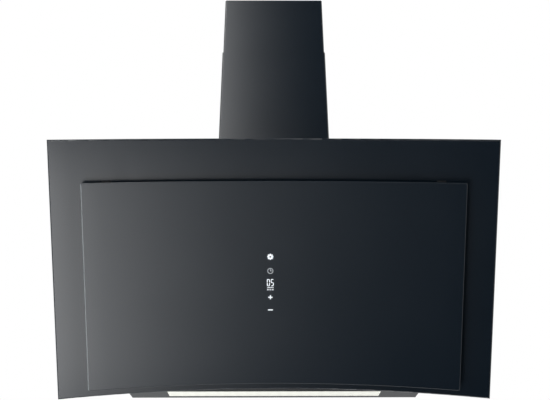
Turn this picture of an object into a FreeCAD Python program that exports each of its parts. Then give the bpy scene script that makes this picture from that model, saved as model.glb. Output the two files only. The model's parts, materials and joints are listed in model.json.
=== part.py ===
"""Wall-hung range hood with a sloping canopy whose panels are curved in plan.

The row frame: X runs along the wall, Y points into the wall, Z is up.  The wall is the plane Y = 0,
and the origin is the centre of the four holes that hang the casing on the wall.

The canopy has a frame of its own, the slope frame, in which it is drawn flat and then tilted:
X across, Y up the slope from the lower corners of the rear panel, Z out of the panel to the cook.
Both the rear panel and the glass are bent round one upright axis that stands on the cook's side,
so that their outer ends come forward and their middle lies nearest to the wall.  "Lift" is the
distance of a surface in front of the rear panel's front skin, measured towards that axis.
"""
import FreeCAD
import Part
import math
import os
from FreeCAD import Vector

# ---------------------------------------------------------------- driving sizes, in millimetres
# canopy: rear panel
PANEL_WIDTH = 900.0          # straight across the two front corners
PANEL_LENGTH = 540.0         # along the slope
PANEL_TILT = 36.6            # degrees that the slope leans out from upright
PANEL_BEND = 1900.0          # radius of the front skin
PANEL_FOOT_OUT = 110.0       # lower corners, out from the wall
PANEL_FOOT_DROP = 29.7       # lower corners, below the underside of the casing
PANEL_RETURN = 9.0           # depth of the folded edge
PANEL_ROUND = 3.0            # outside radius of the fold
SHEET = 1.2                  # steel sheet of the panel and the casing

# suction window in the rear panel, and the duct frame behind it
WINDOW_WIDTH = 610.0
WINDOW_FOOT = 48.0           # lower edge, up the slope
WINDOW_LENGTH = 382.0
WINDOW_CORNER = 10.0
FRAME_DEPTH = 18.0           # from the skin's middle back to the flat front of the casing
FRAME_FLANGE = 10.0

# glass
GLASS_WIDTH = 766.0
GLASS_FOOT = 24.0
GLASS_LENGTH = 431.0
GLASS_THICKNESS = 6.0
GLASS_LIFT = 22.0            # gap between the rear panel's skin and the back of the glass
GLASS_CORNER = 4.0
GLASS_PENCIL = 1.6           # radius ground on the edges

# steel carrier bonded to the back of the glass; the glass stands over it by these insets
CARRIER_SIDE_INSET = 31.0
CARRIER_FOOT_INSET = 8.0
CARRIER_TOP_INSET = 5.0
CARRIER_DEPTH = 8.0
CARRIER_RIM = 46.0
CARRIER_RIB = 60.0
CARRIER_CORNER = 12.0
CARRIER_SHEET = 1.0

# hinges at the top of the glass
HINGE_INSET = 12.0           # middle of a hinge, in from the side of the carrier
HINGE_BELOW_TOP = 12.0       # axis below the upper edge of the glass
HINGE_PIN_R = 3.0
HINGE_PIN_FIT = 0.05
HINGE_PIN_TAIL = 1.5
HINGE_PIN_HEAD_R = 4.5
HINGE_PIN_HEAD = 2.0
HINGE_PIN_PLAY = 0.3
HINGE_KNUCKLE_R = 5.5
HINGE_KNUCKLE_W = 12.0
HINGE_EAR = 2.0
HINGE_EAR_GAP = 1.0
HINGE_BASE_LENGTH = 26.0
HINGE_BASE = 1.5
HINGE_SEAT = 0.3             # felt under the base, on the panel
HINGE_LEAF_LENGTH = 46.0
HINGE_LEAF_WIDTH = 30.0
HINGE_LEAF = 1.6
HINGE_SKIN_GAP = 1.0         # knuckle's rear, in front of the fixed base

# catches and buffers
BUFFER_GAP = 0.3             # between a buffer and the closed carrier
BUFFER_R = 6.0
BUFFER_INSET = 20.0          # in from the side of the carrier
BUFFER_BELOW_TOP = 74.0      # upper buffers, below the top of the carrier
MAGNET_W = 36.0
MAGNET_L = 11.0
MAGNET_SPAN = 440.0
MAGNET_BELOW_WINDOW = 2.0
STRIKE = 1.0
STRIKE_OVER = 2.0            # how far a strike plate reaches past its magnet

# casing
CASING_WIDTH = 634.0
CASING_HEIGHT = 410.0
TROUGH_DEPTH = 58.0          # the underside, from the wall to its front lip
BOLT_RISE = 230.0            # wall holes' centre above the underside
BOLT_SPAN_X = 300.0
BOLT_SPAN_Z = 200.0
BOLT_HOLE_R = 4.0
INTAKE_LEDGE = 12.0          # ledge round each filter opening
INTAKE_CORNER = 6.0

# lamp in the underside
LAMP_LENGTH = 464.0
LAMP_WIDTH = 40.0
LAMP_FIT = 0.5
LAMP_LIP = 1.5               # steel left between the lens and the front lip
LENS = 3.0
LENS_WALL = 10.0
SNAP_LENGTH = 12.0           # ridges that snap the lens into the tray
SNAP_COUNT = 3
TRAY_SHEET = 1.0
TRAY_HEIGHT = 22.0
LED_BOARD_W = 16.0
LED_BOARD = 1.6
LED_COUNT = 20
LED_SIZE = 4.0
LED_HEIGHT = 1.0
LED_BOARD_END = 6.0          # the board stops short of the lens by this

# grease filters
FILTER_GAP = 1.0
FILTER_THICKNESS = 9.5
FILTER_RAIL = 17.0
FILTER_GROOVE = 4.0          # how far the mesh goes into the frame
FILTER_MESH = 5.0
MESH_COLUMNS = 5
MESH_ROWS = 9
MESH_BAR = 7.0
HOOK_STRIP_DEPTH = 12.0
HOOK_CLEAR = 1.0
LATCH_FOOT = 1.0             # its lower edge, above the filter's
LATCH_W = 58.0
LATCH_L = 15.0
LATCH_PLATE = 1.6
LATCH_CLEAR = 0.3
LATCH_LIP = 7.0
LATCH_TRAVEL = 6.0
LATCH_GUIDE = 2.0            # wall of the guides beside the latch
LATCH_GUIDE_LIP = 3.5        # how far they reach over it
BOLT_W = 22.0
BOLT_REACH = 4.0             # how far the bolt passes through the frame's lower wall
BOLT_FIT = 0.5

# motor casing, the box inside the flue: a folded shell, a front and a top
TOWER_WIDTH = 236.0
TOWER_BACK = 5.0             # its back, out from the wall
TOWER_DEPTH = 253.0
TOWER_HEIGHT = 230.0
TOWER_FLANGE = 10.0
TOWER_PORT_EDGE = 6.0        # ledge round the hole in the casing's top
TOWER_PORT_CORNER = 8.0
TOWER_SCREW_INSET = 30.0

# blower
VOLUTE_WIDTH = 170.0
VOLUTE_WALL = 2.0
VOLUTE_AXIS_OUT = 118.0      # axis, out from the wall
VOLUTE_AXIS_RISE = 105.0     # axis, above the casing's top
VOLUTE_R_START = 80.0
VOLUTE_R_END = 112.0
VOLUTE_CUTOFF = 60.0         # degrees up from the front where the spiral starts
VOLUTE_MOUTH = 150.0
INLET_R = 60.0
INLET_LIP = 4.0
WHEEL_R = 72.0
WHEEL_INNER_R = 59.0
WHEEL_HALF = 74.0
WHEEL_BLADES = 32
WHEEL_BLADE = 1.4
BLADE_LEAN = 9.0             # degrees that a blade's tip runs ahead of its root
WHEEL_DISC = 3.0
WHEEL_RING = 4.0
WHEEL_HUB_R = 14.0
SHAFT_R = 4.0
SHAFT_FIT = 0.05
SHAFT_TAIL = 4.0             # beyond the wheel's hub
MOTOR_R = 46.0
MOTOR_LENGTH = 62.0
MOTOR_TAIL = 6.0
MOTOR_BORE = 20.0
MOTOR_GAP = 8.0              # between the motor's face and the wheel's disc
BRACKET_ARM_W = 12.0
BRACKET_SHEET = 2.0
BRACKET_FOOT_OUT = 10.0      # middle of a foot, outside the inlet's lip
BRACKET_FOOT_OVER = 2.0      # foot's rim, beyond its grommet
GROMMET_R = 6.0
GROMMET_PROUD = 1.0          # beyond the inlet's lip
CAPACITOR_R = 13.0
CAPACITOR_H = 62.0
CAPACITOR_RISE = 60.0        # its foot, above the casing's top
CAPACITOR_STUD = 6.0
CLIP_SHEET = 1.0
CLIP_HEIGHT = 14.0
CLIP_TAB = 12.0
CLIP_CORNER_GAP = 4.0        # between the clip's tab and the back sheet

# outlet collar with its two non-return flaps
COLLAR_R = 75.0              # outside, where the duct goes on
COLLAR_WALL = 2.0
COLLAR_HEIGHT = 57.0
COLLAR_FLANGE_R = 88.0
COLLAR_FLANGE = 2.5
COLLAR_SCREWS = 4
COLLAR_SCREW_R = 2.0
COLLAR_HEAD_R = 3.8
COLLAR_HEAD = 2.0
COLLAR_SCREW_REACH = 4.0
FLAP_RISE = 16.0             # flap pins, above the top of the motor casing
FLAP_THICKNESS = 1.5
FLAP_GAP = 2.0               # between a flap's rim and the collar's wall
FLAP_PIN_R = 1.5
FLAP_PIN_OFFSET = 4.5
FLAP_PIN_FIT = 0.05
FLAP_PIN_SHORT = 0.5         # a pin's end, inside the collar's outer face
FLAP_KNUCKLE_R = 3.2
FLAP_KNUCKLE_L = 16.0
FLAP_KNUCKLE_X = 42.0        # knuckle's middle, out from the collar's middle
FLAP_SEAT_GAP = 0.3
FLAP_SEAT = 5.0

# flue covers
FLUE_WIDTH = 250.0
FLUE_DEPTH = 270.0
FLUE_SHEET = 1.2
FLUE_BEND = 4.0
FLUE_FOLD = 12.0             # inward fold against the wall
FLUE_FIT = 0.6               # between the two covers
LOWER_FLUE_LENGTH = 357.5
UPPER_FLUE_LENGTH = 350.0
UPPER_FLUE_SHOWN = 172.5
LOCATOR_LENGTH = 70.0        # angles on the casing that keep the lower cover in place
LOCATOR_HEIGHT = 9.0
LOCATOR_SHEET = 1.0
LOCATOR_FOOT = 3.5
VENT_COUNT = 9
VENT_LENGTH = 90.0
VENT_WIDTH = 4.0
VENT_PITCH = 11.0
VENT_TOP = 28.0

# bracket that holds the upper cover to the wall
CEILING_HEIGHT = 30.0
CEILING_SIDE = 60.0
CEILING_SHEET = 2.0
CEILING_DROP = 6.0           # below the top of the cover
CEILING_HOLE_SPAN = 140.0
CEILING_HOLE_R = 3.5
CEILING_TAB_GAP = 2.0        # between the wall tab and the cover's folds
FLUE_SCREW_HEAD_R = 3.4
FLUE_SCREW_HEAD = 1.6
FLUE_SCREW_R = 2.0
FLUE_SCREW_LENGTH = 8.0
FLUE_SCREW_INSET = 15.0      # in from the end of the bracket's side

# electrics
POWER_W = 104.0
POWER_D = 40.0
POWER_H = 150.0
POWER_SIDE_GAP = 8.0
POWER_RISE = 70.0            # box above the underside
POWER_WALL = 2.0
POWER_MARGIN = 14.0          # round the parts on the board
POWER_EDGE = 2.0             # between the board and the box
TRANSFORMER_W = 40.0
TRANSFORMER_H = 36.0
TRANSFORMER_D = 24.0
RELAY_W = 20.0
RELAY_H = 16.0
RELAY_PITCH = 24.0
TERMINAL_H = 12.0
SPACER_R = 3.0
SPACER_LENGTH = 4.0
SPACER_INSET = 10.0
COVER_FIT = 0.3
COVER_PLUG = 3.0
GLAND_X = 95.0
GLAND_OUT = 35.0
GLAND_R = 8.0
GLAND_BORE_R = 4.5
GLAND_LENGTH = 20.0
GLAND_BELOW = 6.0            # how much of it is under the motor casing's top
GLAND_FIT = 0.1
GLAND_NUT = 11.0
GLAND_NUT_H = 5.0
GLAND_LOCK_H = 3.0
DRIVER_X = 150.0
DRIVER_W = 90.0
DRIVER_D = 26.0
DRIVER_H = 40.0
DRIVER_RISE = 90.0           # lamp driver above the underside
DRIVER_TAB = 10.0
DRIVER_TAB_SHEET = 2.0
DRIVER_CORNER = 2.0

# touch control behind the glass
CONTROL_X = -6.5
CONTROL_FOOT = 160.0         # lower end of the sensor window, up the slope
CONTROL_LENGTH = 160.0
CONTROL_WIDTH = 34.0
CONTROL_FIT = 0.4
BOARD = 1.6
BOARD_OVER = 3.0             # board's edge, beyond the sensor window
COVER_DEPTH = 6.0
COVER_WALL = 1.5
DISPLAY_FOOT = 224.0
DISPLAY_LENGTH = 26.0
DISPLAY_WIDTH = 18.0

# screws
SCREW_HEAD_R = 4.0
SCREW_HEAD = 2.4
SCREW_R = 2.0
SCREW_REACH = 6.0
SCREW_CLEAR = 0.2

PAST = 1.0                   # how far a cutting block runs past what it cuts

# ---------------------------------------------------------------- sizes that follow
HALF = PANEL_WIDTH / 2
SAG = PANEL_BEND - math.sqrt(PANEL_BEND ** 2 - HALF ** 2)
AXIS_Z = PANEL_BEND - SAG                      # slope frame: height of the bend's axis
FACE = -SAG - FRAME_DEPTH                      # slope frame: flat front of the casing
SINE = math.sin(math.radians(PANEL_TILT))
COSINE = math.cos(math.radians(PANEL_TILT))

UNDERSIDE_Z = -BOLT_RISE
CASING_TOP = UNDERSIDE_Z + CASING_HEIGHT
FOOT_Y = -PANEL_FOOT_OUT
FOOT_Z = UNDERSIDE_Z - PANEL_FOOT_DROP
TOWER_TOP = CASING_TOP + TOWER_HEIGHT
FLUE_SEAM = CASING_TOP + LOWER_FLUE_LENGTH
FLUE_TOP = FLUE_SEAM + UPPER_FLUE_SHOWN

WINDOW_TOP = WINDOW_FOOT + WINDOW_LENGTH
GLASS_TOP = GLASS_FOOT + GLASS_LENGTH
CARRIER_WIDTH = GLASS_WIDTH - 2 * CARRIER_SIDE_INSET
CARRIER_FOOT = GLASS_FOOT + CARRIER_FOOT_INSET
CARRIER_TOP = GLASS_TOP - CARRIER_TOP_INSET
HINGE_SPAN = CARRIER_WIDTH - 2 * HINGE_INSET   # between the middles of the two hinges
BUFFER_SPAN = CARRIER_WIDTH - 2 * BUFFER_INSET
CARRIER_BACK = GLASS_LIFT - CARRIER_DEPTH      # lift of the carrier's rear edge
BUFFER_LIFT = CARRIER_BACK - BUFFER_GAP
SHEET_LIFT = GLASS_LIFT - CARRIER_SHEET        # lift of the back of the carrier's sheet

FILTER_WIDTH = (WINDOW_WIDTH - 3 * FILTER_GAP) / 2
FILTER_FOOT = WINDOW_FOOT + FILTER_GAP
FILTER_LENGTH = WINDOW_LENGTH - 2 * FILTER_GAP
FILTER_FRONT = FACE + FILTER_THICKNESS

VOLUTE_Y = -VOLUTE_AXIS_OUT
VOLUTE_Z = CASING_TOP + VOLUTE_AXIS_RISE
COLLAR_Y = VOLUTE_Y - VOLUTE_R_END + VOLUTE_MOUTH / 2
FLAP_Z = TOWER_TOP + FLAP_RISE

LENS_FRONT = TROUGH_DEPTH - SHEET - LAMP_LIP   # out from the wall
LENS_BACK = LENS_FRONT - LAMP_WIDTH

OUT = "parts"


# ---------------------------------------------------------------- small helpers
def box(x0, x1, y0, y1, z0, z1):
    """A block between two corners."""
    return Part.makeBox(x1 - x0, y1 - y0, z1 - z0, Vector(x0, y0, z0))


def rod(radius, start, end):
    """A round bar from one point to another."""
    along = Vector(*end) - Vector(*start)
    return Part.makeCylinder(radius, along.Length, Vector(*start), along)


def tube(outer, inner, start, end):
    """A round tube from one point to another."""
    return rod(outer, start, end).cut(rod(inner, start, end))


def upright_edges(shape, axis):
    """The straight edges of a shape that run along one axis."""
    chosen = []
    for edge in shape.Edges:
        step = edge.Vertexes[-1].Point - edge.Vertexes[0].Point
        if step.Length > 0 and abs(step.dot(axis)) > 0.9999 * step.Length:
            chosen.append(edge)
    return chosen


def rounded_box(x0, x1, y0, y1, z0, z1, radius, axis=Vector(0, 0, 1)):
    """A block whose four edges along one axis are rounded."""
    block = box(x0, x1, y0, y1, z0, z1)
    return block.makeFillet(radius, upright_edges(block, axis))


def polygon_prism(points, x0, x1):
    """A prism along X from a closed outline of (y, z) points."""
    corners = [Vector(x0, y, z) for y, z in points]
    face = Part.Face(Part.makePolygon(corners + corners[:1]))
    return face.extrude(Vector(x1 - x0, 0, 0))


def ring_points(count, radius, start=0.0):
    """(x, y) points spread evenly on a circle; start in degrees."""
    turns = [math.radians(start + 360.0 * i / count) for i in range(count)]
    return [(radius * math.cos(a), radius * math.sin(a)) for a in turns]


def mirrored(shape):
    """The same piece on the other side of the middle plane."""
    return shape.mirror(Vector(0, 0, 0), Vector(1, 0, 0))


def tilted(shape):
    """Carries a shape from the slope frame to the row frame."""
    turned = shape.copy()
    turned.rotate(Vector(0, 0, 0), Vector(1, 0, 0), 90 + PANEL_TILT)
    turned.translate(Vector(0, FOOT_Y, FOOT_Z))
    return turned


def slope_point(up, out):
    """(y, z) in the row frame of a point of the slope frame."""
    return (FOOT_Y - up * SINE - out * COSINE, FOOT_Z + up * COSINE - out * SINE)


def skin_z(x, lift):
    """Slope-frame height of the curved surface with that lift, at x."""
    return AXIS_Z - math.sqrt((PANEL_BEND - lift) ** 2 - x ** 2)


def curved_slab(half_width, foot, top, low, high):
    """A plate bent with the canopy, between two lifts, with square ends; width at its front."""
    half_angle = math.asin(half_width / (PANEL_BEND - high))

    def at(lift, angle):
        radius = PANEL_BEND - lift
        return Vector(radius * math.sin(angle), foot, AXIS_Z - radius * math.cos(angle))

    front = Part.Arc(at(high, -half_angle), at(high, 0), at(high, half_angle)).toShape()
    right = Part.LineSegment(at(high, half_angle), at(low, half_angle)).toShape()
    back = Part.Arc(at(low, half_angle), at(low, 0), at(low, -half_angle)).toShape()
    left = Part.LineSegment(at(low, -half_angle), at(high, -half_angle)).toShape()
    return Part.Face(Part.Wire([front, right, back, left])).extrude(Vector(0, top - foot, 0))


def edges_at_lift(shape, lift):
    """The edges of a curved plate that lie on the surface with that lift."""
    chosen = []
    for edge in shape.Edges:
        middle = edge.valueAt((edge.FirstParameter + edge.LastParameter) / 2)
        points = [vertex.Point for vertex in edge.Vertexes] + [middle]
        radii = [math.hypot(point.x, AXIS_Z - point.z) for point in points]
        if all(abs(radius - (PANEL_BEND - lift)) < 0.001 for radius in radii):
            chosen.append(edge)
    return chosen


def between(shape, low, high):
    """The part of a slope-frame shape that lies between two lifts."""
    layer = curved_slab(HALF + 20, -50, PANEL_LENGTH + 50, low, high)
    return shape.common(layer)


def pan_screw(x, y, z, direction):
    """A screw whose head sits on the point and whose thread goes the other way."""
    base = Vector(x, y, z)
    head = Part.makeCylinder(SCREW_HEAD_R, SCREW_HEAD, base, direction)
    thread = Part.makeCylinder(SCREW_R, SCREW_REACH, base - direction * SCREW_REACH, direction)
    return head.fuse(thread).removeSplitter()


def save(name, *shapes):
    """Writes one sub-part, of one or more separate solids."""
    solids = []
    for shape in shapes:
        solids.extend(shape.Solids)
    for solid in solids:
        if not solid.isValid() or solid.Volume <= 0:
            raise ValueError(name + " has a bad solid")
    whole = solids[0] if len(solids) == 1 else Part.makeCompound(solids)
    whole.exportStep(os.path.join(OUT, name + ".step"))
    print(name, len(solids), round(whole.Volume / 1000.0, 2), "cm3")


# ---------------------------------------------------------------- canopy
def rear_panel():
    """The black curved sheet, folded back on all four sides, with its suction window."""
    outer = curved_slab(HALF, 0, PANEL_LENGTH, -PANEL_RETURN, 0)
    inner_half = (PANEL_BEND + SHEET) * math.sin(math.asin(HALF / PANEL_BEND) - SHEET / PANEL_BEND)
    inner = curved_slab(inner_half, SHEET, PANEL_LENGTH - SHEET, -PANEL_RETURN - PAST, -SHEET)
    body = outer.cut(inner)
    body = body.makeFillet(PANEL_ROUND, edges_at_lift(body, 0))
    body = body.makeFillet(PANEL_ROUND - SHEET, edges_at_lift(body, -SHEET))
    window = rounded_box(
        -WINDOW_WIDTH / 2, WINDOW_WIDTH / 2, WINDOW_FOOT, WINDOW_TOP, FACE, AXIS_Z, WINDOW_CORNER
    )
    return body.cut(window)


def frame_screw_places():
    """Slope-frame points of the screws through the duct frame's flange."""
    x = WINDOW_WIDTH / 2 + SHEET + FRAME_FLANGE / 2
    ups = [WINDOW_FOOT + WINDOW_LENGTH * share for share in (0.2, 0.5, 0.8)]
    return [(side * x, up) for side in (-1, 1) for up in ups]


def window_frame():
    """The duct that joins the curved window to the flat front of the casing."""
    half = WINDOW_WIDTH / 2
    outer = rounded_box(
        -half - SHEET, half + SHEET, WINDOW_FOOT - SHEET, WINDOW_TOP + SHEET,
        FACE, 0, WINDOW_CORNER + SHEET,
    )
    flange = rounded_box(
        -half - SHEET - FRAME_FLANGE, half + SHEET + FRAME_FLANGE,
        WINDOW_FOOT - SHEET - FRAME_FLANGE, WINDOW_TOP + SHEET + FRAME_FLANGE,
        FACE, FACE + SHEET, WINDOW_CORNER + SHEET,
    )
    bore = rounded_box(
        -half, half, WINDOW_FOOT, WINDOW_TOP, FACE - PAST, PAST, WINDOW_CORNER
    )
    body = between(outer, FACE, -SHEET).fuse(flange).cut(bore)
    for x in filter_middles():
        slot_half = BOLT_W / 2 + BOLT_FIT
        body = body.cut(box(
            x - slot_half, x + slot_half, WINDOW_FOOT - 2 * SHEET, WINDOW_FOOT + PAST,
            FILTER_FRONT - BOLT_FIT, FILTER_FRONT + LATCH_CLEAR + LATCH_PLATE + BOLT_FIT,
        ))
    for x, up in frame_screw_places():
        body = body.cut(rod(
            SCREW_R + SCREW_CLEAR, (x, up, FACE - PAST), (x, up, FACE + SHEET + PAST)
        ))
    return body.removeSplitter()


def frame_screws():
    """Six screws that hold the duct frame, and the panel on it, to the casing."""
    return [
        pan_screw(x, up, FACE + SHEET, Vector(0, 0, 1)) for x, up in frame_screw_places()
    ]


def casing_outline():
    """(y, z) corners of the casing, seen from its end."""
    low_up = (-PANEL_FOOT_OUT - FACE * COSINE + TROUGH_DEPTH) / SINE
    high_up = (CASING_TOP - FOOT_Z + FACE * SINE) / COSINE
    return [
        (0, UNDERSIDE_Z), (0, CASING_TOP), slope_point(high_up, FACE),
        slope_point(low_up, FACE), (-TROUGH_DEPTH, UNDERSIDE_Z),
    ]


def inset_outline(points, inset):
    """The outline moved in by the sheet's thickness on every side."""
    corners = [Vector(0, y, z) for y, z in points]
    wire = Part.makePolygon(corners + corners[:1])
    inner = Part.Face(wire).makeOffset2D(-inset, join=2)
    ordered = inner.OuterWire.OrderedVertexes
    return [(vertex.Point.y, vertex.Point.z) for vertex in ordered]


def filter_middles():
    """X of the two filters' middles."""
    step = (FILTER_WIDTH + FILTER_GAP) / 2
    return (-step, step)


def body_casing():
    """The sheet-steel wrap behind the panel: underside, lip, sloping front, top and back."""
    half = CASING_WIDTH / 2 - SHEET
    outline = casing_outline()
    body = polygon_prism(outline, -half, half)
    hollow = polygon_prism(inset_outline(outline, SHEET), -half - PAST, half + PAST)
    body = body.cut(hollow)
    for x in filter_middles():
        reach = FILTER_WIDTH / 2 - INTAKE_LEDGE
        opening = rounded_box(
            x - reach, x + reach, FILTER_FOOT + INTAKE_LEDGE,
            FILTER_FOOT + FILTER_LENGTH - INTAKE_LEDGE, FACE - 3 * SHEET, FACE + SHEET,
            INTAKE_CORNER,
        )
        body = body.cut(tilted(opening))
    lamp_half = LAMP_LENGTH / 2 + LAMP_FIT
    body = body.cut(box(
        -lamp_half, lamp_half, -LENS_FRONT - LAMP_FIT, -LENS_BACK + LAMP_FIT,
        UNDERSIDE_Z - PAST, UNDERSIDE_Z + SHEET + PAST,
    ))
    port = TOWER_WIDTH / 2 - SHEET - TOWER_PORT_EDGE
    body = body.cut(rounded_box(
        -port, port, -TOWER_BACK - TOWER_DEPTH + SHEET + TOWER_PORT_EDGE,
        -TOWER_BACK - SHEET - TOWER_PORT_EDGE, CASING_TOP - SHEET - PAST, CASING_TOP + PAST,
        TOWER_PORT_CORNER,
    ))
    for side_x in (-BOLT_SPAN_X / 2, BOLT_SPAN_X / 2):
        for side_z in (-BOLT_SPAN_Z / 2, BOLT_SPAN_Z / 2):
            body = body.cut(rod(
                BOLT_HOLE_R, (side_x, -SHEET - PAST, side_z), (side_x, PAST, side_z)
            ))
    for x, up in frame_screw_places():
        hole = rod(SCREW_R, (x, up, FACE - SHEET - PAST), (x, up, FACE + PAST))
        body = body.cut(tilted(hole))
    for x, y in tower_screw_places():
        body = body.cut(rod(
            SCREW_R, (x, y, CASING_TOP - SHEET - PAST), (x, y, CASING_TOP + PAST)
        ))
    return body


def casing_end(side):
    """One end plate of the casing, welded to the end of the wrap; side is -1 or 1."""
    half = CASING_WIDTH / 2
    inside = side * (half - SHEET)
    outside = side * half
    return polygon_prism(casing_outline(), min(inside, outside), max(inside, outside))


# ---------------------------------------------------------------- glass door
def glass():
    """The curved pane, with rounded corners and ground edges."""
    half = GLASS_WIDTH / 2
    pane = curved_slab(half, GLASS_FOOT, GLASS_TOP, GLASS_LIFT, GLASS_LIFT + GLASS_THICKNESS)
    corners = [edge for edge in pane.Edges if abs(edge.Length - GLASS_THICKNESS) < 0.01]
    pane = pane.makeFillet(GLASS_CORNER, corners)
    for lift in (GLASS_LIFT, GLASS_LIFT + GLASS_THICKNESS):
        pane = pane.makeFillet(GLASS_PENCIL, edges_at_lift(pane, lift))
    return pane


def glass_carrier():
    """The pan-shaped steel frame on the back of the glass, with the rib that holds the control."""
    half = CARRIER_WIDTH / 2
    outer = curved_slab(half, CARRIER_FOOT, CARRIER_TOP, CARRIER_BACK, GLASS_LIFT)
    inner = curved_slab(
        half - CARRIER_SHEET, CARRIER_FOOT + CARRIER_SHEET, CARRIER_TOP - CARRIER_SHEET,
        CARRIER_BACK - PAST, SHEET_LIFT,
    )
    body = outer.cut(inner)
    rib_left = CONTROL_X - CARRIER_RIB / 2
    rib_right = CONTROL_X + CARRIER_RIB / 2
    foot = CARRIER_FOOT + CARRIER_RIM
    top = CARRIER_TOP - CARRIER_RIM
    for x0, x1 in ((-half + CARRIER_RIM, rib_left), (rib_right, half - CARRIER_RIM)):
        body = body.cut(rounded_box(x0, x1, foot, top, FACE, HALF, CARRIER_CORNER))
    slot = CONTROL_WIDTH / 2
    return body.cut(box(
        CONTROL_X - slot, CONTROL_X + slot, CONTROL_FOOT, CONTROL_FOOT + CONTROL_LENGTH,
        FACE, HALF,
    ))


def hinge_axis():
    """(up, out) of the hinge axis in the slope frame."""
    x = HINGE_SPAN / 2
    up = GLASS_TOP - HINGE_BELOW_TOP
    out = skin_z(x + HINGE_KNUCKLE_W, HINGE_BASE) + HINGE_SKIN_GAP + HINGE_KNUCKLE_R
    return up, out


def hinge_bracket():
    """The fixed half of the right hinge: a base on the panel and two ears round the knuckle."""
    x = HINGE_SPAN / 2
    up, out = hinge_axis()
    ear_inner = HINGE_KNUCKLE_W / 2 + HINGE_EAR_GAP
    ear_outer = ear_inner + HINGE_EAR
    body = between(
        box(x - ear_outer, x + ear_outer, up - HINGE_BASE_LENGTH / 2,
            up + HINGE_BASE_LENGTH / 2, FACE, HALF),
        HINGE_SEAT, HINGE_BASE,
    )
    for x0, x1 in ((x - ear_outer, x - ear_inner), (x + ear_inner, x + ear_outer)):
        web = box(x0, x1, up - HINGE_KNUCKLE_R, up + HINGE_KNUCKLE_R, FACE, out)
        round_top = rod(HINGE_KNUCKLE_R, (x0, up, out), (x1, up, out))
        ear = between(web, HINGE_BASE / 2, GLASS_LIFT).fuse(round_top)
        body = body.fuse(ear)
    reach = ear_outer + PAST
    body = body.cut(rod(HINGE_PIN_R, (x - reach, up, out), (x + reach, up, out)))
    return body.removeSplitter()


def hinge_pin():
    """The right hinge's pin, with a head at its outer end."""
    x = HINGE_SPAN / 2
    up, out = hinge_axis()
    reach = HINGE_KNUCKLE_W / 2 + HINGE_EAR_GAP + HINGE_EAR
    under_head = x + reach + HINGE_PIN_PLAY
    shank = rod(HINGE_PIN_R, (x - reach - HINGE_PIN_TAIL, up, out), (under_head, up, out))
    head = rod(HINGE_PIN_HEAD_R, (under_head, up, out), (under_head + HINGE_PIN_HEAD, up, out))
    return shank.fuse(head)


def hinge_leaf():
    """The moving half of the right hinge: a knuckle, a neck and a plate welded under the carrier."""
    x = HINGE_SPAN / 2
    up, out = hinge_axis()
    x0 = x - HINGE_KNUCKLE_W / 2
    x1 = x + HINGE_KNUCKLE_W / 2
    knuckle = rod(HINGE_KNUCKLE_R, (x0, up, out), (x1, up, out))
    plate_x1 = CARRIER_WIDTH / 2 - 2 * CARRIER_SHEET
    plate = between(
        box(plate_x1 - HINGE_LEAF_WIDTH, plate_x1, up - HINGE_LEAF_LENGTH,
            up - 1.5 * HINGE_KNUCKLE_R, FACE, HALF),
        SHEET_LIFT - HINGE_LEAF, SHEET_LIFT,
    )
    strap = between(
        box(x0, x1, up - HINGE_LEAF_LENGTH, up + HINGE_KNUCKLE_R / 2, FACE, HALF),
        SHEET_LIFT - HINGE_LEAF, SHEET_LIFT,
    )
    neck = between(
        box(x0, x1, up - HINGE_KNUCKLE_R, up + HINGE_KNUCKLE_R / 2, out, HALF), 0, SHEET_LIFT
    )
    body = knuckle.multiFuse([plate, strap, neck])
    bore = rod(HINGE_PIN_R + HINGE_PIN_FIT, (x0 - PAST, up, out), (x1 + PAST, up, out))
    return body.cut(bore).removeSplitter()


def buffers():
    """Four rubber buffers on the panel that the closed carrier rests on."""
    pieces = []
    low = CARRIER_FOOT + CARRIER_RIM / 2
    high = CARRIER_TOP - BUFFER_BELOW_TOP
    for x in (-BUFFER_SPAN / 2, BUFFER_SPAN / 2):
        for up in (low, high):
            pieces.append(between(rod(BUFFER_R, (x, up, FACE), (x, up, HALF)), 0, BUFFER_LIFT))
    return pieces


def magnets():
    """Two magnetic catches on the panel, below the window."""
    pieces = []
    top = WINDOW_FOOT - SHEET - MAGNET_BELOW_WINDOW
    for x in (-MAGNET_SPAN / 2, MAGNET_SPAN / 2):
        block = box(x - MAGNET_W / 2, x + MAGNET_W / 2, top - MAGNET_L, top, FACE, HALF)
        pieces.append(between(block, 0, BUFFER_LIFT - STRIKE))
    return pieces


def strikes():
    """Two steel strips across the carrier's rim that the magnets pull."""
    pieces = []
    top = WINDOW_FOOT - SHEET
    for x in (-MAGNET_SPAN / 2, MAGNET_SPAN / 2):
        half = MAGNET_W / 2 + STRIKE_OVER
        plate = box(x - half, x + half, CARRIER_FOOT, top + STRIKE_OVER, FACE, HALF)
        foot = box(
            x - half, x + half, CARRIER_FOOT + CARRIER_SHEET,
            CARRIER_FOOT + CARRIER_SHEET + 2 * STRIKE, FACE, HALF,
        )
        body = between(plate, CARRIER_BACK - STRIKE, CARRIER_BACK)
        pieces.append(body.fuse(between(foot, CARRIER_BACK - STRIKE, SHEET_LIFT)))
    return pieces


# ---------------------------------------------------------------- touch control
def control_block(width, foot, length, low, high):
    """A block behind the glass at the control, between two lifts."""
    block = box(
        CONTROL_X - width / 2, CONTROL_X + width / 2, foot, foot + length, FACE, HALF
    )
    return between(block, low, high)


def display_module():
    """The number display, seen through the glass."""
    return control_block(DISPLAY_WIDTH, DISPLAY_FOOT, DISPLAY_LENGTH, SHEET_LIFT, GLASS_LIFT)


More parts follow.
